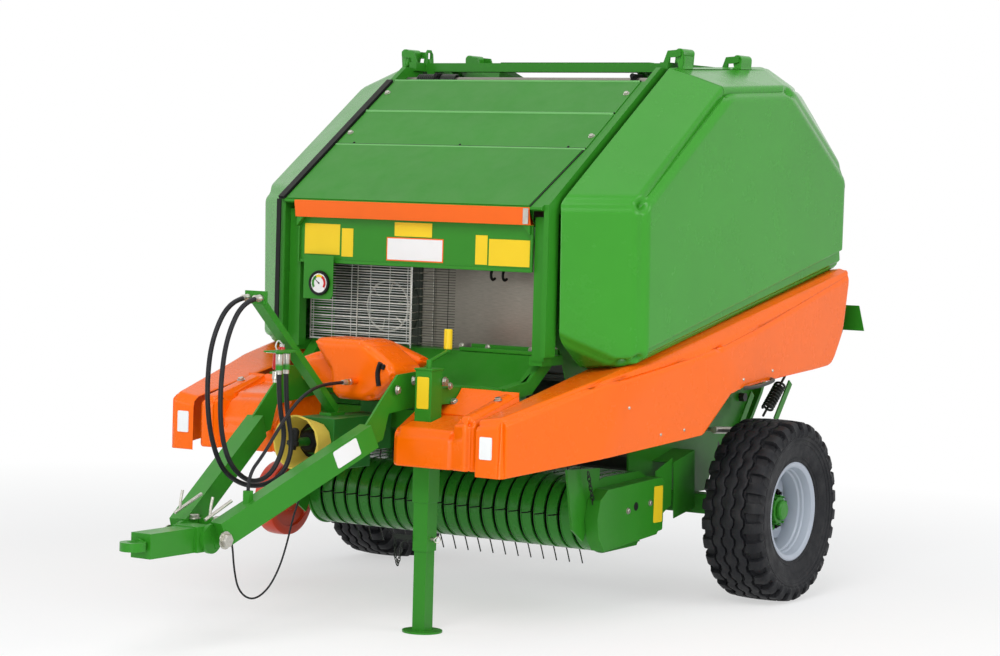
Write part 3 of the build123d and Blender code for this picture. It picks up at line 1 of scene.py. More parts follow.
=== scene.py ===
"""Looks of the round baler: camera, hoses, materials, dressed shells and frame, and fine detail."""

import json
from math import cos, radians, sin, tau

import bmesh
import bpy
from mathutils import Matrix, Vector
from mathutils.bvhtree import BVHTree


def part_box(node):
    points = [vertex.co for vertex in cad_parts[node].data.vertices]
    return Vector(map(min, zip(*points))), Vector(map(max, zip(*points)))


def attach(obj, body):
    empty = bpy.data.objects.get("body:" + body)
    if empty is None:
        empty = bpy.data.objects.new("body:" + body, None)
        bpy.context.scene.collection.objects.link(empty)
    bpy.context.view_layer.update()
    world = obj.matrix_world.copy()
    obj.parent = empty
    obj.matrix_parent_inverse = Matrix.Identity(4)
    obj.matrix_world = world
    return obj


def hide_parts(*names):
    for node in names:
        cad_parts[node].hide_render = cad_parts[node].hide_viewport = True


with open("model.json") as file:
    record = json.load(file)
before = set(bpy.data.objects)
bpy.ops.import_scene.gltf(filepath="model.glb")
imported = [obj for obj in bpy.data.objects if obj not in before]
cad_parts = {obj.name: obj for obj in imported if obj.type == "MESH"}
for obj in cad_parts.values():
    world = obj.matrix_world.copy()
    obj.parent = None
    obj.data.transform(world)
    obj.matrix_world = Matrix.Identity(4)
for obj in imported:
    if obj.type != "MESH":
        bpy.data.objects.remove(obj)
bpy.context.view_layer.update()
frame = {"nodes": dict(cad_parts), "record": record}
NODES = frame["nodes"]
RECORD = frame["record"]
SLOT_OF = {item["node"]: item["material_slot"] for item in RECORD["subparts"]}
BODY_OF = {}
for body, members in RECORD["behaviour"]["bodies"].items():
    for member in members:
        BODY_OF[member] = body
SIDES = ((1, "left"), (-1, "right"))
TIP = 0.0001  # radius that closes a revolved form on its axis


def added(name, data):
    """A new object in the scene."""
    thing = bpy.data.objects.new(name, data)
    bpy.context.scene.collection.objects.link(thing)
    return thing


# ---- camera ----------------------------------------------------------------------------------
bpy.context.scene.view_settings.view_transform = "Standard"
cam_data = bpy.data.cameras.new("camera")
cam_data.lens = 98.7
cam_data.sensor_width = 36.0
cam_data.clip_end = 200.0
camera = added("camera", cam_data)
yaw, pitch, roll = radians(32.655), radians(3.039), radians(1.612)
ahead = Vector((-sin(yaw) * cos(pitch), cos(yaw) * cos(pitch), -sin(pitch)))
level = Vector((cos(yaw), sin(yaw), 0))
above = level.cross(ahead)
across = cos(roll) * level + sin(roll) * above
upright = -sin(roll) * level + cos(roll) * above
turn = Matrix((across, upright, -ahead)).transposed().to_4x4()
camera.matrix_world = Matrix.Translation((6.648, -9.903, 1.85)) @ turn
bpy.context.scene.camera = camera

# ---- materials -------------------------------------------------------------------------------
def rgb(r, g, b):
    """An sRGB colour in 0..255 as a linear RGBA."""
    out = []
    for c in (r, g, b):
        c = c / 255
        out.append(c / 12.92 if c <= 0.04045 else ((c + 0.055) / 1.055) ** 2.4)
    return (*out, 1.0)


class Look:
    """A material with its shader and a small toolbox to add nodes."""

    def __init__(self, name):
        self.mat = bpy.data.materials.new(name)
        self.mat.use_nodes = True
        self.tree = self.mat.node_tree
        self.shader = self.tree.nodes["Principled BSDF"]
        self.coords = self.tree.nodes.new("ShaderNodeTexCoord").outputs["Object"]

    def link(self, out, into):
        self.tree.links.new(out, into)

    def feed(self, value, into):
        """Give a socket another node's output, or a constant."""
        if hasattr(value, "is_output"):
            self.link(value, into)
        else:
            into.default_value = value

    def noise(self, scale, detail=3.0, rough=0.5, stretch=None):
        node = self.tree.nodes.new("ShaderNodeTexNoise")
        node.inputs["Scale"].default_value = scale
        node.inputs["Detail"].default_value = detail
        node.inputs["Roughness"].default_value = rough
        source = self.coords
        if stretch:
            mapping = self.tree.nodes.new("ShaderNodeMapping")
            mapping.inputs["Scale"].default_value = stretch
            self.link(source, mapping.inputs["Vector"])
            source = mapping.outputs["Vector"]
        self.link(source, node.inputs["Vector"])
        return node.outputs["Fac"]

    def ramp(self, value, low, high, a=0.0, b=1.0):
        node = self.tree.nodes.new("ShaderNodeMapRange")
        for key, number in (("From Min", low), ("From Max", high), ("To Min", a), ("To Max", b)):
            node.inputs[key].default_value = number
        self.link(value, node.inputs["Value"])
        return node.outputs["Result"]

    def times(self, a, b, operation="MULTIPLY"):
        node = self.tree.nodes.new("ShaderNodeMath")
        node.operation = operation
        for value, socket in ((a, node.inputs[0]), (b, node.inputs[1])):
            self.feed(value, socket)
        return node.outputs[0]

    def mix(self, factor, a, b):
        node = self.tree.nodes.new("ShaderNodeMix")
        node.data_type = "RGBA"
        for value, socket in ((factor, node.inputs[0]), (a, node.inputs[6]), (b, node.inputs[7])):
            self.feed(value, socket)
        return node.outputs[2]

    def upward(self):
        """0 on walls and undersides, 1 on level tops."""
        split = self.tree.nodes.new("ShaderNodeSeparateXYZ")
        self.link(self.tree.nodes.new("ShaderNodeNewGeometry").outputs["Normal"], split.inputs[0])
        return self.ramp(split.outputs["Z"], 0.35, 1.0)

    def bump(self, height, strength, distance):
        node = self.tree.nodes.new("ShaderNodeBump")
        node.inputs["Strength"].default_value = strength
        node.inputs["Distance"].default_value = distance
        self.link(height, node.inputs["Height"])
        self.link(node.outputs["Normal"], self.shader.inputs["Normal"])

    def done(self, base, rough, metallic=0.0, coat=0.0):
        self.link(base, self.shader.inputs["Base Color"])
        self.feed(rough, self.shader.inputs["Roughness"])
        self.shader.inputs["Metallic"].default_value = metallic
        self.shader.inputs["Coat Weight"].default_value = coat
        self.shader.inputs["Coat Roughness"].default_value = 0.15
        self.shader.inputs["Specular IOR Level"].default_value = 0.22
        return self.mat


def darker(colour, share):
    return tuple(c * share for c in colour[:3]) + (1.0,)


def paint(name, colour, rough=0.3, coat=0.25, peel=0.05, dust=0.05, drift=0.9):
    """Enamel or moulded plastic: slow tone drift, orange peel, thin dust on tops."""
    look = Look(name)
    tone = look.ramp(look.noise(1.3, 4.0, 0.6), 0.35, 0.65)
    base = look.mix(tone, colour, darker(colour, drift))
    film = look.times(look.upward(), look.ramp(look.noise(5.0, 6.0, 0.7), 0.35, 0.75, 0.0, dust))
    base = look.mix(film, base, rgb(200, 200, 178))
    gloss = look.ramp(look.noise(7.0, 5.0, 0.65), 0.3, 0.7, rough * 0.85, rough * 1.25)
    look.bump(look.noise(220.0, 2.0, 0.5), peel, 0.0012)
    return look.done(base, gloss, coat=coat)


def metal(name, colour, rough=0.35, scale=40.0, stretch=None, relief=0.08, metallic=0.9, dark=0.68):
    """Plated, galvanised or bare metal with tone patches and fine streaks."""
    look = Look(name)
    fine = look.noise(scale, 6.0, 0.7, stretch)
    base = look.mix(look.ramp(fine, 0.3, 0.7), colour, darker(colour, dark))
    gloss = look.ramp(look.noise(6.0, 5.0, 0.6), 0.3, 0.7, rough * 0.8, rough * 1.3)
    look.bump(fine, relief, 0.0008)
    return look.done(base, gloss, metallic)


def rubber(name, colour, rough=0.62, dusty=0.25):
    """Tyre or hose rubber: matt, greyer in patches, with fine scuffs."""
    look = Look(name)
    patch = look.ramp(look.noise(14.0, 6.0, 0.75), 0.42, 0.72, 0.0, dusty)
    scuff = look.ramp(look.noise(160.0, 4.0, 0.7), 0.56, 0.7, 0.0, dusty)
    base = look.mix(look.times(patch, scuff, "MAXIMUM"), colour, rgb(96, 96, 94))
    gloss = look.ramp(look.noise(20.0, 4.0, 0.6), 0.3, 0.7, rough * 0.8, rough * 1.2)
    look.bump(look.noise(420.0, 3.0, 0.6), 0.3, 0.0008)
    return look.done(base, gloss)


GREEN = rgb(46, 132, 30)
ORANGE = rgb(250, 106, 0)
MAT = {
    "green_paint": paint("green_paint", GREEN, 0.38, 0.08),
    "cast_green": paint("cast_green", rgb(28, 104, 34), 0.45, 0.1, 0.5, 0.2),
    "gauge_green": paint("gauge_green", GREEN, 0.38, 0.08),
    "green_plastic": paint("green_plastic", rgb(56, 148, 38), 0.24, 0.1, 0.02, 0.02),
    "orange_plastic": paint("orange_plastic", ORANGE, 0.25, 0.08, 0.03, 0.02),
    "orange_paint": paint("orange_paint", rgb(244, 106, 26), 0.36, 0.05),
    "orange_wheel": paint("orange_wheel", rgb(222, 66, 30), 0.35, 0.2),
    "yellow_plastic": paint("yellow_plastic", rgb(222, 196, 84), 0.45, 0.0, 0.1),
    "dark_plastic": paint("dark_plastic", rgb(64, 72, 64), 0.45, 0.05, 0.15),
    "tyre": rubber("tyre", rgb(24, 25, 29), 0.6, 0.14),
    "rubber": rubber("rubber", rgb(22, 23, 27), 0.42, 0.06),
    "rim_silver": paint("rim_silver", rgb(176, 184, 196), 0.32, 0.2, 0.05, 0.04),
    "roller_steel": paint("roller_steel", rgb(58, 62, 58), 0.45, 0.0, 0.2, 0.2),
    "spring_steel": paint("spring_steel", rgb(22, 30, 22), 0.4, 0.1, 0.1, 0.1),
    "zinc": metal("zinc", rgb(200, 198, 188), 0.32),
    "galvanised": metal("galvanised", rgb(150, 146, 136), 0.34, 26.0, (1, 1, 14), 0.05, 0.85, 0.7),
    "band_green": paint("band_green", rgb(44, 128, 36), 0.26, 0.15, 0.02, 0.03),
    # pale green of the sheet lips: a painted highlight on their upper edges
    "edge_green": paint("edge_green", rgb(112, 176, 104), 0.4, 0.0),
    "mesh_wire": metal("mesh_wire", rgb(214, 216, 212), 0.4, 40.0, None, 0.02, 0.5, 0.85),
    "decal_yellow": paint("decal_yellow", rgb(240, 206, 36), 0.4, 0.1, 0.0, 0.03),
    "decal_white": paint("decal_white", rgb(236, 238, 238), 0.4, 0.1, 0.0, 0.03),
    "white_paint": paint("white_paint", rgb(226, 230, 226), 0.35, 0.1),
    "black_trim": paint("black_trim", rgb(14, 15, 15), 0.5, 0.0, 0.1, 0.05),
    "red_paint": paint("red_paint", rgb(196, 26, 24), 0.3, 0.3),
    "brass": metal("brass", rgb(188, 150, 84), 0.3),
}
for node, slot in SLOT_OF.items():
    NODES[node].data.materials.clear()
    NODES[node].data.materials.append(MAT[slot])

# ---- hoses and cable -------------------------------------------------------------------------
def hang(name, node, points, diameter):
    """A free hose: a smooth spline through the open air from one fitting to the other."""
    curve = bpy.data.curves.new(name, "CURVE")
    curve.dimensions = "3D"
    curve.bevel_depth = diameter / 2
    curve.bevel_resolution = 5
    curve.resolution_u = 16
    curve.use_fill_caps = True
    spline = curve.splines.new("NURBS")
    spline.points.add(len(points) - 1)
    for knot, place in zip(spline.points, points):
        knot.co = (*place, 1.0)
    spline.order_u = 3
    spline.use_endpoint_u = True
    thing = added(name, curve)
    curve.materials.append(MAT["rubber"])
    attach(thing, "chassis")
    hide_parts(node)
    return thing


OUTER_ROUTE = [
    (-0.06, -1.2843, 1.366), (-0.06, -1.4, 1.366), (-0.058, -1.52, 1.215),
    (-0.05, -1.556, 1.02), (-0.04, -1.54, 0.83), (-0.03, -1.465, 0.68),
    (-0.015, -1.31, 0.61), (0.04, -1.19, 0.64), (0.06, -1.13, 0.76),
    (0.04, -1.165, 0.95), (0.04, -1.165, 1.08),
]
INNER_ROUTE = [
    (0.0, -1.2843, 1.366), (0.0, -1.392, 1.366), (0.0, -1.5, 1.225),
    (0.005, -1.54, 1.03), (0.012, -1.54, 0.85), (0.022, -1.49, 0.715),
    (0.034, -1.37, 0.636), (0.042, -1.24, 0.665), (0.048, -1.165, 0.8),
    (0.05, -1.224, 0.95), (0.05, -1.224, 1.08),
]
FEED_ROUTE = [
    (0.05, -0.745, 1.012), (0.05, -0.9, 1.012), (0.085, -1.05, 1.0),
    (0.11, -1.185, 0.955), (0.124, -1.31, 0.865), (0.13, -1.415, 0.765),
    (0.132, -1.512, 0.692), (0.132, -1.512, 0.63),
]
CABLE_ROUTE = [
    (-0.05, -1.4997, 0.495), (-0.05, -1.42, 0.488), (-0.05, -1.372, 0.4),
    (-0.05, -1.358, 0.29), (-0.05, -1.325, 0.195), (-0.05, -1.235, 0.148),
    (-0.05, -1.135, 0.18), (-0.05, -1.06, 0.262), (-0.05, -1.012, 0.36),
    (-0.05, -0.975, 0.465), (-0.05, -0.925, 0.555), (-0.05, -0.862, 0.6),
    (-0.05, -0.862, 0.6597),
]
hang("outer_hose", "hose_outer", OUTER_ROUTE, 0.02)
hang("inner_hose", "hose_inner", INNER_ROUTE, 0.02)
hang("feed_hose", "hose_feed", FEED_ROUTE, 0.014)
hang("lamp_cable", "light_cable", CABLE_ROUTE, 0.008)

# ---- modelling helpers -----------------------------------------------------------------------
def frame_of(axis):
    """Two unit vectors square to an axis and to each other."""
    axis = Vector(axis).normalized()
    side = Vector((0, 0, 1)) if abs(axis.z) < 0.9 else Vector((0, 1, 0))
    first = side.cross(axis).normalized()
    return first, axis.cross(first)


class Shape:
    """Collects forms in one mesh and turns them into a piece that rides on a body."""

    def __init__(self):
        self.bm = bmesh.new()

    def skin(self, rings, closed=True, caps=True):
        """Join rings of points with quads; each ring is a loop unless closed is False."""
        rows = [[self.bm.verts.new(p) for p in ring] for ring in rings]
        count = len(rows[0])
        for a, b in zip(rows, rows[1:]):
            for i in range(count if closed else count - 1):
                j = (i + 1) % count
                self.bm.faces.new((a[i], a[j], b[j], b[i]))
        if caps and closed:
            self.bm.faces.new(list(reversed(rows[0])))
            self.bm.faces.new(rows[-1])
        return self

    def box(self, low, high):
        """An upright box between two corners."""
        x0, y0, z0 = low
        x1, y1, z1 = high
        foot = [(x0, y0, z0), (x1, y0, z0), (x1, y1, z0), (x0, y1, z0)]
        return self.skin([foot, [(x, y, z1) for x, y, z in foot]])

    def prism(self, outline, depth):
        """A flat outline of 3-D points pushed along a vector."""
        depth = Vector(depth)
        return self.skin([outline, [Vector(p) + depth for p in outline]])

    def slab(self, centre, across, along, size, thick):
        """A thin plate: size is its width along across and its height along along."""
        a, b = Vector(across).normalized(), Vector(along).normalized()
        out = a.cross(b)
        w, h = size[0] / 2, size[1] / 2
        base = [Vector(centre) + a * x + b * y for x, y in ((-w, -h), (w, -h), (w, h), (-w, h))]
        return self.prism(base, out * thick)

    def lathe(self, start, axis, profile, sides=32, closed=True):
        """Revolve (distance along the axis, radius) pairs about an axis through start."""
        axis = Vector(axis).normalized()
        u, v = frame_of(axis)
        start = Vector(start)
        rows = []
        for turn in range(sides):
            a = tau * turn / sides
            out = u * cos(a) + v * sin(a)
            rows.append([start + axis * d + out * r for d, r in profile])
        rows.append(rows[0])
        verts = [[self.bm.verts.new(p) for p in row] for row in rows[:-1]]
        verts.append(verts[0])
        count = len(profile)
        for a, b in zip(verts, verts[1:]):
            for i in range(count if closed else count - 1):
                j = (i + 1) % count
                self.bm.faces.new((a[i], b[i], b[j], a[j]))
        return self

    def turned(self, start, axis, profile, sides=32, end=None):
        """Revolve a profile and close it on the axis; end is where its last face meets the axis."""
        last = profile[-1][0] if end is None else end
        whole = [(profile[0][0], TIP), *profile, (last, TIP)]
        return self.lathe(start, axis, whole, sides, closed=False)

    def rod(self, a, b, radius, sides=16, chamfer=0.0):
        """A round bar with chamfered ends."""
        a, b = Vector(a), Vector(b)
        long = (b - a).length
        c = chamfer or radius * 0.12
        profile = [(0, radius - c), (c, radius), (long - c, radius), (long, radius - c)]
        return self.turned(a, b - a, profile, sides)

    def tube(self, points, radius, sides=8, rounds=3, loop=False):
        """A bent wire or tube along points, its corners rounded."""
        path = [Vector(p) for p in points]
        for _ in range(rounds):
            smooth = [] if loop else [path[0]]
            pairs = list(zip(path, path[1:] + path[:1])) if loop else list(zip(path, path[1:]))
            for a, b in pairs:
                smooth += [a.lerp(b, 0.25), a.lerp(b, 0.75)]
            path = smooth if loop else smooth + [path[-1]]
        if loop:
            path.append(path[0])
        u = frame_of(path[1] - path[0])[0]
        rings = []
        for i, place in enumerate(path):
            ahead = path[min(i + 1, len(path) - 1)] - path[max(i - 1, 0)]
            ahead.normalize()
            u = (u - ahead * u.dot(ahead)).normalized()
            v = ahead.cross(u)
            rings.append([
                place + (u * cos(tau * k / sides) + v * sin(tau * k / sides)) * radius
                for k in range(sides)
            ])
        return self.skin(rings, caps=not loop)

    def coil(self, a, b, radius, wire, turns, sides=8):
        """A helical spring between two points."""
        a, b = Vector(a), Vector(b)
        u, v = frame_of(b - a)
        count = int(turns * 14)
        path = []
        for i in range(count + 1):
            t = tau * turns * i / count
            path.append(a.lerp(b, i / count) + (u * cos(t) + v * sin(t)) * radius)
        return self.tube(path, wire, sides, rounds=0)

    def bolt(self, place, axis, size=0.008, washer=True):
        """A hexagon head on its washer; size is the thread's radius."""
        axis = Vector(axis).normalized()
        place = Vector(place)
        if washer:
            self.turned(place, axis, [(0, size * 2.2), (size * 0.3, size * 2.2)], 20)
        u, v = frame_of(axis)
        rings = []
        for d, r in ((0.3, 1.75), (1.25, 1.75), (1.45, 1.5)):
            rings.append([
                place + axis * size * d + (u * cos(tau * k / 6) + v * sin(tau * k / 6)) * size * r
                for k in range(6)
            ])
        return self.skin(rings)

    def rivet(self, place, axis, size=0.006):
        """A low domed head."""
        profile = [(0, size), (size * 0.3, size * 0.92), (size * 0.55, size * 0.6)]
        profile.append((size * 0.66, TIP))
        return self.lathe(place, axis, profile, 14, closed=False)

    def done(self, name, body, look, slot=None, bevel=0.0, angle=35, tidy=True):
        """Make the object, give it its material, and let it ride."""
        if tidy:
            bmesh.ops.remove_doubles(self.bm, verts=self.bm.verts, dist=1e-5)
            bmesh.ops.recalc_face_normals(self.bm, faces=self.bm.faces)
        mesh = bpy.data.meshes.new(name)
        self.bm.to_mesh(mesh)
        self.bm.free()
        return place_piece(name, mesh, body, look, bevel, angle)


def place_piece(name, mesh, body, look, bevel=0.0, angle=35):
    """A mesh as a piece on a body, smooth except at its sharp edges."""
    thing = added(name, mesh)
    mesh.materials.clear()
    mesh.materials.append(MAT[look])
    mesh.shade_smooth()
    if bevel:
        soften(thing, bevel, 2, angle)
    else:
        mesh.set_sharp_from_angle(angle=radians(angle))
    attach(thing, body)
    return thing


def soften(thing, width, segments, angle):
    """Round a piece's sharp edges and keep its flat faces flat."""
    rounding = thing.modifiers.new("rounding", "BEVEL")
    rounding.width = width
    rounding.segments = segments
    rounding.limit_method = "ANGLE"
    rounding.angle_limit = radians(angle)
    rounding.miter_outer = "MITER_ARC"
    rounding.harden_normals = False
    flat = thing.modifiers.new("flat", "WEIGHTED_NORMAL")
    flat.keep_sharp = True


def cleaned(node):
    """A copy of a frame node's mesh as whole faces."""
    bm = bmesh.new()
    bm.from_mesh(NODES[node].data)
    bmesh.ops.remove_doubles(bm, verts=bm.verts, dist=2e-5)
    bmesh.ops.dissolve_limit(
        bm, angle_limit=radians(0.8), verts=bm.verts, edges=bm.edges, use_dissolve_boundaries=False
    )
    return bm


def remade(prefix, node, bm, look=None):
    """Put a worked copy in the place of a frame node."""
    name = prefix + node
    mesh = bpy.data.meshes.new(name)
    bm.to_mesh(mesh)
    bm.free()
    thing = place_piece(name, mesh, BODY_OF[node], look or SLOT_OF[node])
    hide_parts(node)
    return thing


def dress(node, width=0.0025, segments=2, angle=30, look=None):
    """Replace a frame node by the same form with rolled or rounded edges."""
    thing = remade("worked_", node, cleaned(node), look)
    for edge in thing.data.edges:
        edge.use_edge_sharp = False
    soften(thing, width, segments, angle)


NEAR = 0.04  # how far round a clear box the rims stay sharp
CUTS = (0.14, 0.32, 0.54, 0.78, 1.0)  # where a blend cuts a face, as shares of its reach


def blend(bm, reach, clear=None, rim=0.012, shortest=0.05, least=4.0):
    """Blend a form's creases over a reach each side, roll its rims, and round its outline."""
    patch = bm.faces.layers.int.new("patch")
    width = {}
    for number, face in enumerate(bm.faces, 1):
        face[patch] = number
        width[number] = face.calc_area() / max(edge.calc_length() for edge in face.edges)
    skin = {}
    for number, face in enumerate(bm.faces, 1):
        if width[number] < rim or number in skin:
            continue
        queue = [face]
        skin[number] = number
        while queue:
            for edge in queue.pop().edges:
                for other in edge.link_faces:
                    if width[other[patch]] >= rim and other[patch] not in skin:
                        skin[other[patch]] = number
                        queue.append(other)
    middle = sum((face.calc_center_median() for face in bm.faces), Vector()) / len(bm.faces)
    facing = {}
    for face in bm.faces:
        if face[patch] in skin:
            push = face.calc_area() * (face.calc_center_median() - middle).dot(face.normal)
            facing[skin[face[patch]]] = facing.get(skin[face[patch]], 0.0) + push
    creases = []
    for edge in bm.edges:
        if len(edge.link_faces) != 2:
            continue
        a, b = (vert.co.copy() for vert in edge.verts)
        turned = edge.calc_face_angle(0.0)
        into = []
        for face in edge.link_faces:
            inward = face.normal.cross(b - a).normalized()
            if inward.dot(face.calc_center_median() - a) < 0:
                inward.negate()
            into.append(inward)
        sides = [face[patch] for face in edge.link_faces]
        flat = [width[number] >= rim for number in sides]
        long = edge.calc_length()
        near = clear and all(
            low - NEAR < value < high + NEAR
            for low, value, high in zip(clear[0], (a + b) / 2, clear[1])
        )
        if near and not all(flat):
            continue
        if all(flat) and long >= shortest and turned >= radians(least):
            wide = min(reach, 0.46 * width[sides[0]], 0.46 * width[sides[1]])
            creases.append((a, b, into, sides, skin[sides[0]], wide, into[0] + into[1]))
        elif any(flat) and not all(flat) and long >= 0.04 and turned > radians(40):
            k = flat.index(True)
            home = edge.link_faces[k].normal * (-1 if facing[skin[sides[k]]] > 0 else 1)
            wide = min(0.03, 0.4 * width[sides[k]])
            way = into[k] * 0.5 + home
            creases.append((a, b, [into[k]], [sides[k]], skin[sides[k]], wide, way))
        elif not any(flat) and long < 0.012 and turned > radians(25):
            runs = [max(e.calc_length() for e in face.edges) for face in edge.link_faces]
            wide = min(0.05, 0.42 * min(runs))
            creases.append((a, b, into, sides, None, wide, into[0] + into[1]))
    for a, b, into, sides, _, wide, _ in creases:
        for number, inward in zip(sides, into):
            for share in CUTS:
                faces = [face for face in bm.faces if face[patch] == number]
                edges = {edge for face in faces for edge in face.edges}
                verts = {vert for face in faces for vert in face.verts}
                bmesh.ops.bisect_plane(
                    bm, geom=faces + list(edges) + list(verts), dist=1e-6,
                    plane_co=a + inward * wide * share, plane_no=inward,
                )
    for vert in bm.verts:
        owners = {skin.get(face[patch]) for face in vert.link_faces} - {None}
        place, shift = vert.co.copy(), Vector()
        for a, b, _, _, owner, wide, way in creases:
            if owner and owner not in owners:
                continue
            along = b - a
            t = min(1.0, max(0.0, (place - a).dot(along) / along.length_squared))
            gap = (place - (a + along * t)).length
            if gap < wide:
                shift += way * wide / 4 * (1 - gap / wide) ** 2
        vert.co = place + shift


def mould(node, reach, clear=None):
    """Replace a shell by the same form with soft creases; rims near a clear box stay sharp."""
    bm = cleaned(node)
    blend(bm, reach, clear)
    soften(remade("moulded_", node, bm), 0.0016, 2, 38)


# ---- frame parts with their edges worked ------------------------------------------------------
for node in (
    "main_frame", "front_frame", "roof_frame", "side_wall_left", "side_wall_right", "axle",
    "drawbar", "hitch_tongue", "jack_tube", "jack_middle", "jack_leg", "gearbox",
    "hose_holder", "back_sheet", "tailgate", "rear_bar", "pickup_frame", "pickup_shield",
    "mesh_guard", "pto_guard", "top_roller", "tailgate_rollers", "bale_rollers",
):
    dress(node, 0.003 if node in ("drawbar", "jack_tube", "gearbox") else 0.002)
for node, reach in (
    ("door_left", 0.055), ("door_right", 0.055), ("skirt_left", 0.04), ("skirt_right", 0.04),
    ("front_cover_left", 0.045), ("front_cover_right", 0.045),
):
    mould(node, reach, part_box("jack_tube"))

dress("jack_crank", 0.0015, look="green_paint")

# gear cover: a front hump and a lower wing set back behind it, moulded in one skin
shape = Shape()
for outline, y0, y1 in (
    ([(-0.172, 1.15), (-0.165, 1.183), (0.06, 1.183), (0.105, 1.16), (0.222, 1.085), (0.24, 1.035),
      (0.12, 0.932), (-0.078, 0.932), (-0.1, 1.05)], -0.7, -0.464),
    ([(-0.312, 1.085), (-0.2, 1.125), (-0.04, 1.125), (-0.04, 0.975), (-0.23, 0.965),
      (-0.312, 1.01)], -0.64, -0.464),
    ([(0.01, 0.94), (0.225, 1.09), (0.205, 1.11), (0.0, 1.178), (-0.08, 1.178)], -0.47, -0.384),
):
    shape.prism([(x, y0, z) for x, z in outline], (0, y1 - y0, 0))
bmesh.ops.recalc_face_normals(shape.bm, faces=shape.bm.faces)
blend(shape.bm, 0.042)
shape.rod((0.05, -0.69, 1.012), (0.05, -0.744, 1.012), 0.013, 20)
cover = shape.done("gear_cover_moulded", "chassis", "orange_plastic", angle=40)
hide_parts("gearbox_cover")

# ---- tyres, rims and gauge wheel -------------------------------------------------------------
AXLE_Y, AXLE_Z = 1.15, 0.41
OUTER_R, TRACK = 0.41, 1.04
PITCHES = 28
# profile of the tread half: (x, how deep, zigzag share) with blocks and grooves as they come
TREAD = [
    (0.0, 0.0, 1.0), (0.0165, 0.0, 1.0), (0.0185, 0.001, 1.0), (0.0205, 0.014, 1.0),
    (0.03, 0.014, 1.0), (0.032, 0.001, 1.0), (0.034, 0.0, 1.0), (0.066, 0.0, 1.0),
    (0.068, 0.001, 1.0), (0.0705, 0.015, 1.0), (0.079, 0.015, 0.8), (0.0815, 0.001, 0.6),
    (0.0835, 0.0, 0.5), (0.122, 0.0, 0.0), (0.1275, 0.003, 0.0),
]
# sidewall: (x, radius below the crown, how much of the block's relief goes on)
WALL = [
    (0.135, 0.015, 1.0), (0.141, 0.03, 0.8), (0.144, 0.044, 0.5), (0.145, 0.058, 0.12),
    (0.1442, 0.064, 0.0), (0.1412, 0.067, 0.0), (0.1412, 0.072, 0.0), (0.1435, 0.075, 0.0),
    (0.143, 0.084, 0.0), (0.14, 0.088, 0.0), (0.1385, 0.104, 0.0), (0.1355, 0.107, 0.0),
    (0.134, 0.126, 0.0), (0.131, 0.146, 0.0), (0.124, 0.17, 0.0), (0.1205, 0.173, 0.0),
    (0.1195, 0.182, 0.0), (0.1145, 0.186, 0.0), (0.112, 0.196, 0.0), (0.104, 0.206, 0.0),
]
STEPS = (0.0, 0.09, 0.2, 0.235, 0.36, 0.5, 0.62, 0.74, 0.775, 0.88)


def zigzag(t):
    """A trapezoid wave over one pitch, between -1 and 1."""
    t = (t + 0.06) % 1.0
    if t < 0.16:
        return -1 + t / 0.16 * 2
    if t < 0.5:
        return 1
    return 1 - (t - 0.5) / 0.16 * 2 if t < 0.66 else -1


def tread_ring(angle, t):
    """One cross section of the tyre at an angle, t of the way through a pitch."""
    on_lug = 0.22 < t < 0.76
    fin = 0.15 < t < 0.25 or 0.73 < t < 0.8
    out = []
    for side in (-1, 1):
        rows = []
        wave = zigzag(t if side > 0 else t + 0.5) * 0.0075
        for x, depth, share in TREAD:
            drop = depth
            if x > 0.083 and not on_lug:
                drop = 0.017 + (x - 0.083) * 0.14
            sway = wave * share if x > 0.001 else 0.0
            rows.append((side * x + sway, OUTER_R - 0.0012 - 0.35 * x * x - drop))
        for x, drop, relief in WALL:
            sink = 0.0 if on_lug else 0.015 * relief
            if fin and 0.03 < drop < 0.07:
                sink -= 0.0045
            rows.append((side * (x - sink), OUTER_R - drop - (sink if drop < 0.04 else 0.0)))
        out.append(rows if side > 0 else list(reversed(rows)))
    line = out[0] + out[1][1:]
    return [(x, AXLE_Y + r * sin(angle), AXLE_Z - r * cos(angle)) for x, r in line]


def make_tyre(side, name):
    """A ribbed implement tyre with zigzag grooves and shoulder lugs."""
    shape = Shape()
    rings = []
    for pitch in range(PITCHES):
        for t in STEPS:
            rings.append(tread_ring(tau * (pitch + t) / PITCHES, t))
    rings.append(rings[0])
    rings = [[(x + side * TRACK, y, z) for x, y, z in ring] for ring in rings]
    shape.skin(rings, closed=False, caps=False)
    for z in (0.085, 0.128, 0.166):
        for face in (-1, 1):
            x = side * TRACK + face * {0.085: 0.1431, 0.128: 0.1338, 0.166: 0.1262}[z]
            r = OUTER_R - z
            ridge = [(0, r - 0.0026), (0.0022, r - 0.001), (0.0022, r + 0.001), (0, r + 0.0026)]
            shape.lathe((x - face * 0.002, AXLE_Y, AXLE_Z), (face, 0, 0), ridge, 96)
    tyre = shape.done(name + "_tyre_ribbed", name + "_wheel", "tyre", angle=38, tidy=True)
    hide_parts("tyre_" + name)


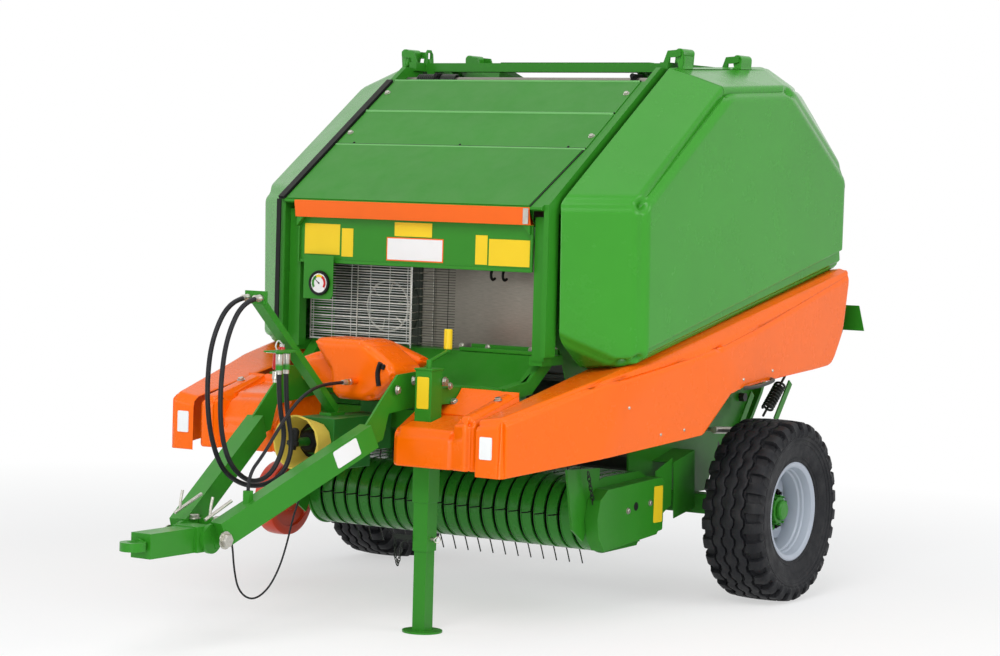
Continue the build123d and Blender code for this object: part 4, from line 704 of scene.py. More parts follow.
def make_rim(side, name):
    """A deep dished rim with stepped barrel, star disc, cast hub and wheel nuts."""
    centre = (side * TRACK, AXLE_Y, AXLE_Z)
    shape = Shape()
    barrel = [
        (-0.115, 0.222), (-0.106, 0.224), (-0.103, 0.216), (-0.1, 0.2), (-0.082, 0.196),
        (-0.07, 0.188), (-0.02, 0.18), (0.04, 0.184), (0.052, 0.19), (0.06, 0.191),
        (0.066, 0.197), (0.09, 0.2), (0.1, 0.202), (0.103, 0.217), (0.106, 0.224),
        (0.115, 0.223), (0.118, 0.217), (0.116, 0.208), (0.108, 0.198), (0.094, 0.194),
        (0.076, 0.191), (0.07, 0.185), (0.058, 0.183), (0.052, 0.176), (0.038, 0.173),
        (-0.02, 0.172), (-0.08, 0.18), (-0.1, 0.194), (-0.113, 0.208),
    ]
    shape.lathe(centre, (side, 0, 0), barrel, 96)
    # disc: its outer edge waves in and out eight times, dished in towards the hub
    rings = []
    for layer, r_add in ((-0.022, 0.0), (-0.01, 0.0), (-0.0085, -0.002)):
        ring = []
        for k in range(96):
            a = tau * k / 96
            wave = 0.5 - 0.5 * cos(8 * a)
            ring.append((layer, 0.173 - 0.02 * wave ** 2 + r_add, a))
        rings.append(ring)
    rings.append([(-0.0082, 0.128, tau * k / 96) for k in range(96)])
    rings.append([(-0.004, 0.122, tau * k / 96) for k in range(96)])
    rings.append([(-0.004, 0.06, tau * k / 96) for k in range(96)])
    rings.append([(-0.022, 0.06, tau * k / 96) for k in range(96)])
    shape.skin([
        [(centre[0] + side * d, AXLE_Y + r * sin(a), AXLE_Z + r * cos(a)) for d, r, a in ring]
        for ring in rings
    ], caps=False)
    rim = shape.done(name + "_rim_dished", name + "_wheel", "rim_silver", angle=32)
    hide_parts("rim_" + name)
    # hub: flange, nuts on studs, castellated cap
    shape = Shape()
    flange = [(-0.09, TIP), (-0.09, 0.05), (-0.03, 0.062), (-0.004, 0.064), (0.0, 0.1),
              (0.01, 0.098), (0.014, 0.072), (0.022, 0.066), (0.048, 0.06), (0.052, 0.054),
              (0.056, TIP)]
    shape.lathe(centre, (side, 0, 0), flange, 60, closed=False)
    shape.lathe((centre[0] + side * 0.056, AXLE_Y, AXLE_Z), (side, 0, 0),
                [(0, 0.046), (0.012, 0.044), (0.018, 0.036), (0.019, TIP)], 40, closed=False)
    for k in range(12):
        a = tau * k / 12
        place = Vector((centre[0] + side * 0.04, AXLE_Y + 0.062 * sin(a), AXLE_Z + 0.062 * cos(a)))
        shape.slab(place, (side, 0, 0), (0, cos(a), -sin(a)), (0.03, 0.014), 0.006)
    shape.done(name + "_hub_cast", name + "_wheel", "green_paint", bevel=0.0015)
    shape = Shape()
    for k in range(6):
        a = tau * (k + 0.5) / 6
        y, z = AXLE_Y + 0.083 * sin(a), AXLE_Z + 0.083 * cos(a)
        shape.bolt((centre[0] + side * 0.0115, y, z), (side, 0, 0), 0.0085)
        shape.rod((centre[0] + side * 0.01, y, z), (centre[0] + side * 0.036, y, z), 0.007, 12)
    shape.done(name + "_wheel_nuts", name + "_wheel", "black_trim", "roller_steel")


for side, name in SIDES:
    make_tyre(side, name)
    make_rim(side, name)

# pickup gauge wheel: a dished orange wheel in one piece
shape = Shape()
shape.lathe((-0.95, 0.15, 0.375), (1, 0, 0), [
    (-0.03, 0.06), (-0.034, 0.128), (-0.046, 0.134), (-0.047, 0.128), (-0.0475, 0.136),
    (-0.0475, 0.156), (-0.04, 0.168), (-0.02, 0.17), (0.02, 0.17), (0.04, 0.168),
    (0.0475, 0.156), (0.0475, 0.136), (0.047, 0.128), (0.046, 0.134), (0.034, 0.128), (0.03, 0.06),
    (0.044, 0.052), (0.044, 0.02), (-0.044, 0.02), (-0.044, 0.052),
], 64)
wheel = shape.done("pickup_gauge_wheel_dished", "pickup_wheel", "orange_wheel", bevel=0.0015)
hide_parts("gauge_wheel")

# ---- sloping front sheets, stripe and blank plates --------------------------------------------
SLOPE_FOOT = Vector((0, -0.276, 1.752))
UP_SLOPE, OFF_SLOPE = Vector((0, 0.8273, 0.5617)), Vector((0, -0.5617, 0.8273))


def on_slope(x, s, lift=0.0):
    """A point of the sloping front, s metres up from its foot."""
    return SLOPE_FOOT + Vector((x, 0, 0)) + UP_SLOPE * s + OFF_SLOPE * lift


dress("front_panels", 0.002)
gap_shade, sheets, lips = Shape(), Shape(), Shape()
for s0, s1, half0, half1 in (
    (0.004, 0.434, 0.602, 0.64), (0.446, 0.712, 0.652, 0.652), (0.728, 0.978, 0.652, 0.652),
):
    outline = [on_slope(-0.655, s0, 0.001), on_slope(half0, s0, 0.001),
               on_slope(half1, s1, 0.001), on_slope(-0.655, s1, 0.001)]
    sheets.prism(outline, OFF_SLOPE * 0.0035)
sheets.done("front_sheets", "chassis", "green_paint", bevel=0.0012)
# Each seam gets a lip in pale green, a painted highlight along its upper edge.
for s, wide, tall in ((0.44, 0.007, 0.006), (0.72, 0.011, 0.009), (0.984, 0.006, 0.007)):
    lips.prism([on_slope(-0.657, s - wide, 0.002), on_slope(0.65, s - wide, 0.002),
                on_slope(0.65, s - wide * 0.3, tall), on_slope(-0.657, s - wide * 0.3, tall)],
               OFF_SLOPE * 0.001 + UP_SLOPE * 0.003)
    # A black strip under each seam is painted shade in the gap between the sheets.
    gap_shade.prism([on_slope(-0.657, s + wide * 0.4, 0.0008), on_slope(0.652, s + wide * 0.4, 0.0008),
                on_slope(0.652, s + wide * 0.4 + 0.004, 0.0008),
                on_slope(-0.657, s + wide * 0.4 + 0.004, 0.0008)], OFF_SLOPE * 0.0042)
lips.done("front_sheet_lips", "chassis", "edge_green", "green_paint", bevel=0.001)
# Black strips along the sheets' right edge, their left edge and the frame post are painted shade in
# the gaps.
gap_shade.prism([on_slope(0.606, 0.0, 0.0008), on_slope(0.611, 0.0, 0.0008),
            on_slope(0.65, 0.432, 0.0008), on_slope(0.645, 0.432, 0.0008)], OFF_SLOPE * 0.003)
gap_shade.prism([on_slope(-0.6935, 0.0, 0.0), on_slope(-0.662, 0.0, 0.0),
            on_slope(-0.662, 0.975, 0.0), on_slope(-0.6935, 0.975, 0.0)], OFF_SLOPE * 0.014)
gap_shade.box((-0.6935, -0.292, 1.15), (-0.672, -0.286, 1.752))
gap_shade.done("front_sheet_gaps", "chassis", "black_trim", "dark_plastic")
bolts, dots = Shape(), Shape()
for x, s in ((-0.632, 0.872), (0.632, 0.88), (-0.632, 0.532), (0.632, 0.536)):
    bolts.bolt(on_slope(x, s, 0.0045), OFF_SLOPE, 0.0065)
for x in (-0.563, 0.006, 0.56):
    dots.rivet(on_slope(x, 0.452, 0.0045), OFF_SLOPE, 0.006)
bolts.done("front_sheet_bolts", "chassis", "zinc")
dots.done("front_sheet_rivets", "chassis", "black_trim", "dark_plastic")

# blank plates on the panel under the visor, and its corner gussets
FACE_Y = -0.2345
yellow, pale, border = Shape(), Shape(), Shape()
for x0, x1, z0, z1 in (
    (-0.578, -0.388, 1.515, 1.648), (-0.378, -0.317, 1.509, 1.632), (-0.099, 0.095, 1.607, 1.667),
    (0.318, 0.378, 1.502, 1.626), (0.386, 0.589, 1.5, 1.612),
):
    yellow.box((x0, FACE_Y - 0.0012, z0), (x1, FACE_Y, z1))
pale.box((-0.134, FACE_Y - 0.0018, 1.506), (0.15, FACE_Y, 1.597))
border.box((-0.139, FACE_Y - 0.0012, 1.501), (0.155, FACE_Y, 1.602))
yellow.done("visor_blank_plates", "chassis", "decal_yellow", "yellow_plastic", bevel=0.0004)
pale.done("visor_white_plate", "chassis", "decal_white", "green_paint", bevel=0.0004)
border.done("visor_plate_border", "chassis", "orange_paint", bevel=0.0004)
gussets = Shape()
for side in (-1, 1):
    gussets.prism([(side * 0.603, FACE_Y, 1.69), (side * 0.555, FACE_Y, 1.69),
                   (side * 0.603, FACE_Y, 1.635)], (0, -0.03, 0))
    gussets.box((side * 0.6, FACE_Y - 0.012, 1.48), (side * 0.607, FACE_Y, 1.69))
gussets.box((-0.6, FACE_Y - 0.006, 1.478), (0.6, FACE_Y, 1.492))
gussets.done("visor_gussets", "chassis", "green_paint", bevel=0.0015)

# stripe under the visor's lip with its pale end piece
low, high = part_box("visor_stripe")
dress("visor_stripe", 0.0015)
tab = Shape()
tab.box(
    (high[0] - 0.03, low[1] - 0.0025, low[2] + 0.004), (high[0] - 0.004, low[1], high[2] - 0.004)
)
tab.done("stripe_end_plate", "chassis", "zinc", bevel=0.0008)

# ---- rear roof lip, roller springs and clips --------------------------------------------------
lip = Shape()
lip.box((-0.343, 0.946, 2.398), (0.46, 0.95, 2.411))
lip.box((-0.343, 0.946, 2.408), (0.46, 0.99, 2.412))
lip.done("roof_lip", "chassis", "green_paint", bevel=0.001)
springs = Shape()
for x0, x1 in ((-0.6, -0.5), (-0.47, -0.39)):
    springs.coil((x0, 0.66, 2.305), (x1, 0.66, 2.305), 0.034, 0.005, 9)
springs.done("roller_springs", "chassis", "spring_steel")
clips = Shape()
for x in (-0.485, 0.56):
    clips.box((x - 0.01, 0.622, 2.275), (x + 0.01, 0.7, 2.345))
    clips.bolt((x, 0.622, 2.335), (0, -1, 0), 0.006)
clips.done("roller_clips", "chassis", "black_trim", "spring_steel", bevel=0.001)

# ---- open bay: guard mesh, dial, round cover, hooks -------------------------------------------
MESH_Y = -0.15


def wire(shape, a, b, radius, sides=5):
    """A straight piece of wire."""
    u, v = frame_of(Vector(b) - Vector(a))
    ring = [(u * cos(tau * k / sides) + v * sin(tau * k / sides)) * radius for k in range(sides)]
    shape.skin([[Vector(a) + p for p in ring], [Vector(b) + p for p in ring]])


fine, heavy, dark = Shape(), Shape(), Shape()
rows = 31
for k in range(rows):
    z = 1.146 + 0.336 * k / (rows - 1)
    wire(fine, (-0.596, MESH_Y, z), (-0.062, MESH_Y, z), 0.0016)
    wire(dark, (-0.058, MESH_Y, z), (0.165, MESH_Y, z), 0.0014)
for x in (-0.582, -0.48, -0.378, -0.276, -0.174, -0.08):
    wire(fine, (x, MESH_Y - 0.003, 1.144), (x, MESH_Y - 0.003, 1.484), 0.0014)
for x in (-0.02, 0.06, 0.132):
    wire(dark, (x, MESH_Y - 0.003, 1.144), (x, MESH_Y - 0.003, 1.484), 0.0014)
mesh = fine.done("guard_mesh_fine", "chassis", "mesh_wire", "zinc")
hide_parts("mesh_guard")
dark.done("guard_mesh_dark", "chassis", "spring_steel", "zinc")
for a, b in (((-0.599, 1.143), (-0.06, 1.143)), ((-0.599, 1.4835), (-0.06, 1.4835)),
             ((-0.599, 1.143), (-0.599, 1.4835)), ((-0.06, 1.124), (-0.06, 1.4835))):
    wire(heavy, (a[0], MESH_Y, a[1]), (b[0], MESH_Y, b[1]), 0.003, 8)
heavy.done("guard_mesh_rim", "chassis", "mesh_wire", "zinc")

inner = Shape()
inner.box((-0.598, 0.03, 1.126), (-0.13, 0.035, 1.598))
inner.done("bay_inner_panel", "chassis", "dark_plastic", bevel=0.001)
cover = Shape()
cover.turned((-0.3, 0.036, 1.29), (0, -1, 0), [
    (0.0, 0.16), (0.014, 0.16), (0.02, 0.152), (0.02, 0.128), (0.013, 0.122), (0.013, 0.1),
    (0.021, 0.094), (0.024, 0.06), (0.024, 0.052), (0.018, 0.048),
], 56)
cover = cover.done("bay_round_cover_ribbed", "chassis", "dark_plastic")
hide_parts("round_cover")
rings = Shape()
for r in (0.11, 0.056):
    rings.lathe((-0.3, 0.021, 1.29), (0, -1, 0),
                [(0, r - 0.006), (0.006, r - 0.004), (0.006, r + 0.004), (0, r + 0.006)], 48)
for k in range(6):
    a = tau * k / 6 + 0.3
    wire(rings, (-0.3 + 0.056 * cos(a), 0.0155, 1.29 + 0.056 * sin(a)),
         (-0.3 + 0.108 * cos(a), 0.0155, 1.29 + 0.108 * sin(a)), 0.004, 6)
rings.done("bay_cover_rings", "chassis", "zinc")

low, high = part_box("gauge")
dial_x, dial_z, dial_y = -0.47, 1.39, low[1]
bracket = Shape()
bracket.prism([(low[0] + 0.02, dial_y + 0.012, low[2]), (-0.415, dial_y + 0.012, low[2]),
               (-0.4, dial_y + 0.012, low[2] + 0.015), (-0.4, dial_y + 0.012, high[2]),
               (low[0] + 0.02, dial_y + 0.012, high[2])], (0, 0.003, 0))
bracket.turned((dial_x, high[1], dial_z), (0, -1, 0), [
    (0, 0.04), (high[1] - dial_y - 0.006, 0.04),
], 40)
bracket = bracket.done("dial_bracket", "chassis", "gauge_green", bevel=0.001)
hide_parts("gauge")
bezel = Shape()
bezel.lathe((dial_x, dial_y + 0.01, dial_z), (0, -1, 0), [
    (0, 0.042), (0, 0.054), (0.006, 0.0545), (0.01, 0.053), (0.01, 0.046), (0.007, 0.042),
], 48)
bezel.done("dial_bezel", "chassis", "black_trim", "dark_plastic")
face = Shape()
face.turned((dial_x, dial_y + 0.006, dial_z), (0, -1, 0), [(0, 0.044), (0.0025, 0.044)], 40)
face.done("dial_face", "chassis", "decal_white", "gauge_green")
for name, look, start, end in (
    ("green", "green_paint", 215, 115), ("yellow", "decal_yellow", 115, 60),
    ("red", "red_paint", 60, -35),
):
    arc = Shape()
    rows = []
    for k in range(9):
        a = radians(start + (end - start) * k / 8)
        rows.append([
            (dial_x + r * cos(a), dial_y + 0.0028, dial_z + r * sin(a)) for r in (0.026, 0.037)
        ])
    loop = [row[0] for row in rows] + [row[1] for row in reversed(rows)]
    arc.prism(loop, (0, -0.0006, 0))
    arc.done("dial_arc_" + name, "chassis", look, "gauge_green")
needle = Shape()
a = radians(140)
needle.prism([(dial_x + 0.002 * sin(a), dial_y + 0.002, dial_z - 0.002 * cos(a)),
              (dial_x + 0.035 * cos(a), dial_y + 0.002, dial_z + 0.035 * sin(a)),
              (dial_x - 0.002 * sin(a), dial_y + 0.002, dial_z + 0.002 * cos(a)),
              (dial_x - 0.008 * cos(a), dial_y + 0.002, dial_z - 0.008 * sin(a))], (0, -0.001, 0))
needle.lathe(
    (dial_x, dial_y + 0.003, dial_z), (0, -1, 0), [(0, 0.004), (0.002, 0.0035), (0.002, TIP)], 14,
    closed=False,
)
for k in range(11):
    a = radians(215 - 25 * k)
    wire(needle, (dial_x + 0.038 * cos(a), dial_y + 0.0025, dial_z + 0.038 * sin(a)),
         (dial_x + 0.042 * cos(a), dial_y + 0.0025, dial_z + 0.042 * sin(a)), 0.0006, 4)
needle.done("dial_needle", "chassis", "black_trim", "gauge_green")

hooks = Shape()
for x in (0.285, 0.345):
    hooks.tube([(x, -0.02, 1.48), (x, -0.05, 1.478), (x, -0.06, 1.448), (x, -0.045, 1.43),
                (x, -0.025, 1.438)], 0.006, 8)
    hooks.box((x - 0.012, -0.03, 1.47), (x + 0.012, -0.012, 1.5))
hooks.done("bay_hooks", "chassis", "black_trim", "spring_steel")
rails = Shape()
rails.box((0.15, -0.085, 1.1242), (0.59, -0.078, 1.14))
rails.box((0.15, 0.01, 1.1242), (0.59, 0.034, 1.15))
rails.box((-0.59, -0.456, 0.968), (0.59, -0.45, 0.988))
rails.prism([(-0.59, -0.076, 1.123), (-0.59, -0.21, 1.01), (-0.59, -0.384, 0.97),
             (-0.59, -0.384, 0.966), (-0.59, -0.212, 1.005), (-0.59, -0.076, 1.118)], (1.18, 0, 0))
rails.done("bay_floor_rails", "chassis", "green_paint", bevel=0.0015)
nuts = Shape()
for x, y, z in ((0.235, 0.0098, 1.138), (0.455, 0.0098, 1.138), (0.1, 0.0098, 1.138)):
    nuts.bolt((x, y, z), (0, -1, 0), 0.006)
nuts.done("bay_floor_bolts", "chassis", "zinc")

# ---- reflectors, plates, rivets, handle and side fittings -------------------------------------
def rounded(points, cut, steps=5):
    """Blend the corners of a closed outline: cut is how far back each blend starts."""
    out = []
    count = len(points)
    cuts = cut if isinstance(cut, (list, tuple)) else [cut] * count
    for i, point in enumerate(points):
        here = Vector(point)
        before, after = Vector(points[i - 1]), Vector(points[(i + 1) % count])
        a = here + (before - here).normalized() * cuts[i]
        b = here + (after - here).normalized() * cuts[i]
        if not cuts[i]:
            out.append(here)
            continue
        for k in range(steps + 1):
            t = k / steps
            out.append(a * (1 - t) ** 2 + here * 2 * t * (1 - t) + b * t ** 2)
    return out


def hit(node, start, heading):
    """Where a ray meets a frame node, and the surface's direction there."""
    bm = bmesh.new()
    bm.from_mesh(NODES[node].data)
    tree = BVHTree.FromBMesh(bm)
    place, normal, _, _ = tree.ray_cast(Vector(start), Vector(heading).normalized())
    bm.free()
    return place, normal


def plate_on(name, node, start, heading, up, size, look, slot, thick=0.0015, body=None):
    """A blank plate with rounded corners laid on a node's surface."""
    place, normal = hit(node, start, heading)
    if place is None:
        print("no surface for", name)
        return None
    if normal.dot(Vector(heading)) > 0:
        normal = -normal
    up = (Vector(up) - normal * Vector(up).dot(normal)).normalized()
    side = up.cross(normal)
    w, h = size[0] / 2, size[1] / 2
    corners = rounded([place + side * x + up * y for x, y in ((-w, -h), (w, -h), (w, h), (-w, h))],
                      min(size) * 0.12)
    shape = Shape()
    shape.prism([p + normal * 0.0004 for p in corners], normal * thick)
    return shape.done(name, body or BODY_OF[node], look, slot, bevel=0.0004)


for side, name in SIDES:
    node = "skirt_" + name
    plate_on(name + "_reflector", node, (side * 0.77, -1.4, 0.795), (0, 1, 0), (0, 0, 1),
             (0.058, 0.09), "decal_white", "orange_plastic", 0.004)
plate_on("drawbar_blank_plate", "drawbar", (0.7, -1.073, 0.757), (-1, 0, 0), (0, -0.44, 0.9),
         (0.13, 0.074), "decal_white", "green_paint")
plate_on("jack_blank_plate", "jack_tube", (0.38, -1.2, 0.985), (0, 1, 0), (0, 0, 1),
         (0.058, 0.13), "decal_yellow", "yellow_plastic")
plate_on("shield_blank_plate", "pickup_shield", (1.4, 0.543, 0.463), (-1, 0, 0), (0, 0, 1),
         (0.076, 0.16), "decal_yellow", "yellow_plastic", 0.002)

for side, name in SIDES:
    body = name + "_door"
    node = "skirt_" + name
    rivets = Shape()
    spots = [(0.209, 0.803), (0.387, 0.813), (-0.041, 0.929), (0.84, 1.012), (1.11, 1.04)]
    for y, z in spots:
        place, normal = hit(node, (side * 1.4, y, z), (-side, 0, 0))
        if place is not None:
            rivets.rivet(place, normal if normal.x * side > 0 else -normal, 0.007)
    rivets.done(name + "_skirt_rivets", body, "zinc")
    grip = Shape()
    places = []
    for y, z, out in ((0.849, 0.974, -0.004), (0.862, 0.976, 0.026), (0.973, 0.984, 0.03),
                      (1.086, 1.0, 0.026), (1.098, 1.003, -0.004)):
        place, _ = hit(node, (side * 1.4, y, z), (-side, 0, 0))
        x = place.x if place is not None else side * 1.05
        places.append((x + side * out, y, z))
    grip.tube(places, 0.0085, 12)
    grip.done(name + "_skirt_handle", body, "roller_steel")

# ---- latch springs and bars under the skirts, stay tubes ---------------------------------------
# The springs and bars ride on the doors but touch neither a skirt nor the frame.
for side, name in SIDES:
    coil = Shape()
    coil.coil((side * 0.8, 1.56, 0.828), (side * 0.8, 1.69, 0.936), 0.024, 0.006, 9)
    coil.rod((side * 0.8, 1.52, 0.795), (side * 0.8, 1.735, 0.974), 0.006)
    coil.done(name + "_latch_spring", name + "_door", "spring_steel")
    bars = Shape()
    for a, b in (((1.282, 0.762), (1.4, 0.918)), ((1.644, 0.778), (1.788, 0.951))):
        corners = (a, b, (b[0] + 0.03, b[1] - 0.022), (a[0] + 0.03, a[1] - 0.022))
        bars.prism([(side * 0.79, y, z) for y, z in corners], (side * 0.008, 0, 0))
    bars.done(name + "_latch_bars", name + "_door", "green_paint", bevel=0.0015)
    tube = Shape()
    tube.rod((side * 0.85, 0.947, 0.768), (side * 0.85, 1.149, 0.755), 0.016, 20)
    tube.rod((side * 0.62, 0.96, 0.767), (side * 0.852, 0.96, 0.767), 0.01, 16)
    tube.done(name + "_stay_tube", "chassis", "zinc")

# ---- pickup: stripper bands, reel, shield ------------------------------------------------------
REEL_Y, REEL_Z, BAND_R, REAR_Y = 0.2, 0.44, 0.158, 0.47


def band_path(radius, steps=26):
    """Side view of a band's surface, from the top rear round the front to the foot."""
    path = [(REAR_Y, REEL_Z + radius + 0.006), (REEL_Y + 0.12, REEL_Z + radius + 0.003)]
    for k in range(steps + 1):
        a = radians(90 + 180 * k / steps)
        path.append((REEL_Y + radius * cos(a), REEL_Z + radius * sin(a)))
    return path + [(REEL_Y + 0.12, REEL_Z - radius + 0.004), (REAR_Y, REEL_Z - radius + 0.008)]


def band(shape, x0, x1, lips=True):
    """A curved sheet strip with folded-in edges; lips adds a pressed line beside one edge."""
    inner = 0.009
    if lips:
        across = [
            (x0, inner), (x0, 0.0012), (x0 + 0.0012, 0.0), (x0 + 0.005, 0.0), (x0 + 0.006, 0.0022),
            (x0 + 0.0085, 0.0022), (x0 + 0.0095, 0.0), (x1 - 0.0012, 0.0), (x1, 0.0012),
            (x1, inner), (x1 - 0.0025, inner), (x1 - 0.0025, 0.003), (x0 + 0.0025, 0.0045),
            (x0 + 0.0025, inner),
        ]
    else:
        across = [
            (x0, inner), (x0, 0.0012), (x0 + 0.0012, 0.0), (x1 - 0.0012, 0.0), (x1, 0.0012),
            (x1, inner), (x1 - 0.0025, inner), (x1 - 0.0025, 0.003), (x0 + 0.0025, 0.003),
            (x0 + 0.0025, inner),
        ]
    paths = {depth: band_path(BAND_R - depth) for depth in {d for _, d in across}}
    rings = []
    for k in range(len(paths[0.0])):
        rings.append([(x, *paths[d][k]) for x, d in across])
    shape.skin(rings)


BAND_COUNT, BAND_PITCH, FIRST_BAND_X = 20, 0.066, -0.627
# tine rows: the root's place round the reel and the tine's heading, in degrees, and its length
TINE_ROWS = ((175, 181, 0.146), (265, 297, 0.15), (355, 30, 0.136), (85, 80, 0.146))
SHIELD_BOLTS, SHIELD_HOLE = ((0.282, 0.455), (0.473, 0.474)), (0.351, 0.469)
bands, hoods = Shape(), Shape()
for k in range(BAND_COUNT):
    x = FIRST_BAND_X + BAND_PITCH * k
    band(bands, x - 0.0255, x + 0.0255)
for side in (-1, 1):
    low, high = sorted((side * 0.6685, side * 0.7245))
    band(hoods, low, high, lips=False)
hoods.box((-0.7245, 0.466, 0.574), (0.7245, 0.472, 0.604))
hoods.box((-0.7245, 0.466, 0.29), (0.7245, 0.472, 0.32))
bands = bands.done("stripper_bands", "pickup", "band_green", "green_paint", angle=32)
hoods.done("stripper_hoods", "pickup", "band_green", "green_paint", angle=32)
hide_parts("strippers")

# The reel's core is a real drum, made black so that it also gives the painted shade seen between
# the bands.
core, tines = Shape(), Shape()
core.turned((-0.7345, REEL_Y, REEL_Z), (1, 0, 0), [
    (0.0, 0.022), (0.03, 0.022), (0.032, 0.128), (1.437, 0.128), (1.439, 0.022), (1.469, 0.022),
], 40)
core = core.done("reel_core", "reel", "black_trim", "spring_steel")
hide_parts("tine_reel")
for k in range(BAND_COUNT - 1):
    x = FIRST_BAND_X + BAND_PITCH / 2 + BAND_PITCH * k
    for place, heading, long in TINE_ROWS:
        a, b = radians(place), radians(heading)
        root = Vector((x, REEL_Y + 0.095 * cos(a), REEL_Z + 0.095 * sin(a)))
        way = Vector((0, cos(b), sin(b)))
        bend = Vector((0, -sin(b), cos(b))) * 0.004
        tines.tube([root, root + way * long * 0.55 + bend, root + way * long], 0.0031, 6, 1)
        tines.coil((x - 0.006, root.y, root.z), (x + 0.006, root.y, root.z), 0.011, 0.0031, 3, 5)
tines.done("reel_tines", "reel", "spring_steel")

outline = rounded([(0.031, 0.452), (0.11, 0.541), (0.589, 0.579), (0.592, 0.347), (0.171, 0.299)],
                  [0.045, 0.075, 0.008, 0.008, 0.09], 8)
shield = Shape()
shield.prism([(0.7365, y, z) for y, z in outline], (0.0625, 0, 0))
shield = shield.done("shield_rounded", "pickup", "green_paint", bevel=0.004)
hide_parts("pickup_shield")
tail = Shape()
tail.prism([
    (0.752, 0.5945, 0.372), (0.752, 0.745, 0.44), (0.752, 0.745, 0.65), (0.752, 0.5945, 0.6),
], (0.0025, 0, 0))
tail.done("shield_tail_plate", "pickup", "green_paint", bevel=0.0008)
details, holes = Shape(), Shape()
for y, z in SHIELD_BOLTS:
    details.bolt((0.7992, y, z), (1, 0, 0), 0.0065)
details.done("shield_bolts", "pickup", "zinc")
# The hole is a black disc on the shield's face: painted shade in the opening.
y, z = SHIELD_HOLE
holes.turned((0.799, y, z), (1, 0, 0), [(0.0, 0.018), (0.0014, 0.019)], 28)
holes.done("shield_hole", "pickup", "black_trim", "dark_plastic")


def links(shape, places, size=0.012, wire_r=0.0026):
    """A chain of oval links along straight runs."""
    flip = False
    for a, b in zip(places, places[1:]):
        a, b = Vector(a), Vector(b)
        count = max(1, round((b - a).length / (size * 1.9)))
        u, v = frame_of(b - a)
        way = (b - a).normalized()
        for k in range(count):
            mid = a.lerp(b, (k + 0.5) / count)
            out = u if flip else v
            flip = not flip
            loop = [mid + way * size * 1.25 * cos(t) + out * size * 0.6 * sin(t)
                    for t in (tau * n / 10 for n in range(10))]
            shape.tube(loop, wire_r, 5, 0, loop=True)


chain = Shape()
links(chain, [(0.76, 0.004, 0.64), (0.762, 0.03, 0.56), (0.764, 0.05, 0.5)])
chain.done("lift_chain", "pickup", "spring_steel")

# ---- hitch, jack, couplings and driveline fittings --------------------------------------------
sleeve = Shape()
sleeve.rod((0.32, -0.426, 1.15), (0.32, -0.426, 1.235), 0.0178, 24, 0.004)
sleeve.done("crank_grip", "chassis", "decal_yellow", "zinc")
bits = Shape()
bits.bolt((0.4235, -0.6, 1.03), (1, 0, 0), 0.009)
bits.bolt((0.4235, -0.56, 1.01), (1, 0, 0), 0.007)
for x, y, z in ((0.3, -0.76, 0.995), (0.296, -0.64, 1.028)):
    bits.bolt((x, y, z), (1, 0.2, 0), 0.009)
bits.done("jack_flange_bolts", "chassis", "zinc")
pin = Shape()
pin.rod((0.33, -0.655, 0.385), (0.432, -0.655, 0.385), 0.007, 14)
pin.tube([(0.43, -0.655, 0.385), (0.44, -0.64, 0.4), (0.442, -0.62, 0.385),
          (0.44, -0.636, 0.368), (0.43, -0.652, 0.376)], 0.0022, 6)
pin.done("jack_pin", "jack_middle_tube", "zinc")
keeper = Shape()
links(keeper, [
    (0.337, -0.69, 0.388), (0.3, -0.696, 0.365), (0.29, -0.698, 0.3), (0.282, -0.698, 0.272),
    (0.27, -0.698, 0.3), (0.264, -0.696, 0.384),
], 0.01, 0.002)
keeper.prism([(0.262, -0.7, 0.378), (0.345, -0.692, 0.378), (0.345, -0.692, 0.398),
              (0.262, -0.7, 0.398)], (0, 0.004, 0))
keeper.done("jack_chain", "jack_middle_tube", "spring_steel")

# clamp handles on the tongue
handles = Shape()
for x, y0, z0 in ((0.1, -1.734, 0.532), (-0.06, -1.72, 0.545)):
    top = (x, y0 + 0.16, z0 + 0.06)
    handles.rod((x, y0, z0), top, 0.0065, 14)
    handles.tube([(x, y0 + 0.03, z0 + 0.014), (x + 0.002, y0 + 0.032, z0 + 0.05),
                  (x + 0.004, y0 + 0.04, z0 + 0.085)], 0.0055, 8)
handles.done("tongue_clamp_handles", "chassis", "zinc")
bits = Shape()
for x, y, z in ((0.0, -1.735, 0.478), (0.06, -1.6, 0.512), (-0.06, -1.6, 0.512)):
    bits.bolt((x, y, z), (0, 0, 1), 0.012)
for side in (-1, 1):
    bits.bolt((side * 0.137, -1.656, 0.45), (side, 0, 0), 0.016)
bits.done("tongue_bolts", "chassis", "zinc")

# hose ends, couplings and clips
metalwork = Shape()
for x in (-0.06, 0.0):
    metalwork.turned((x, -1.2843, 1.366), (0, -1, 0), [
        (0.0, 0.013), (0.01, 0.015), (0.02, 0.015), (0.026, 0.0125), (0.046, 0.0125),
    ], 20, end=0.048)
for x, y in ((0.04, -1.165), (0.05, -1.224)):
    metalwork.turned((x, y, 1.064), (0, 0, 1), [
        (0.0, 0.0125), (0.03, 0.0125), (0.034, 0.015), (0.06, 0.0155), (0.08, 0.0155),
    ], 20, end=0.086)
metalwork.turned((0.05, -0.735, 1.012), (0, -1, 0), [
    (0.0, 0.013), (0.016, 0.013), (0.018, 0.011), (0.06, 0.01),
], 20, end=0.062)
metalwork.done("hose_fittings", "chassis", "zinc")
collar = Shape()
collar.rod((0.05, -0.752, 1.012), (0.05, -0.772, 1.012), 0.0142, 6)
collar.done("feed_hose_nut", "chassis", "brass", "zinc")
red = Shape()
red.turned((-0.02, -1.123, 1.105), (0, 0.1, 1), [
    (0.0, 0.014), (0.006, 0.019), (0.04, 0.019), (0.046, 0.014), (0.06, 0.012),
], 24, end=0.062)
red.turned((-0.052, -1.112, 1.072), (0, 0.1, 1), [
    (0.0, 0.012), (0.008, 0.016), (0.07, 0.016), (0.074, 0.012),
], 24, end=0.075)
red.done("coupling_caps", "chassis", "red_paint", "rubber")
ends = Shape()
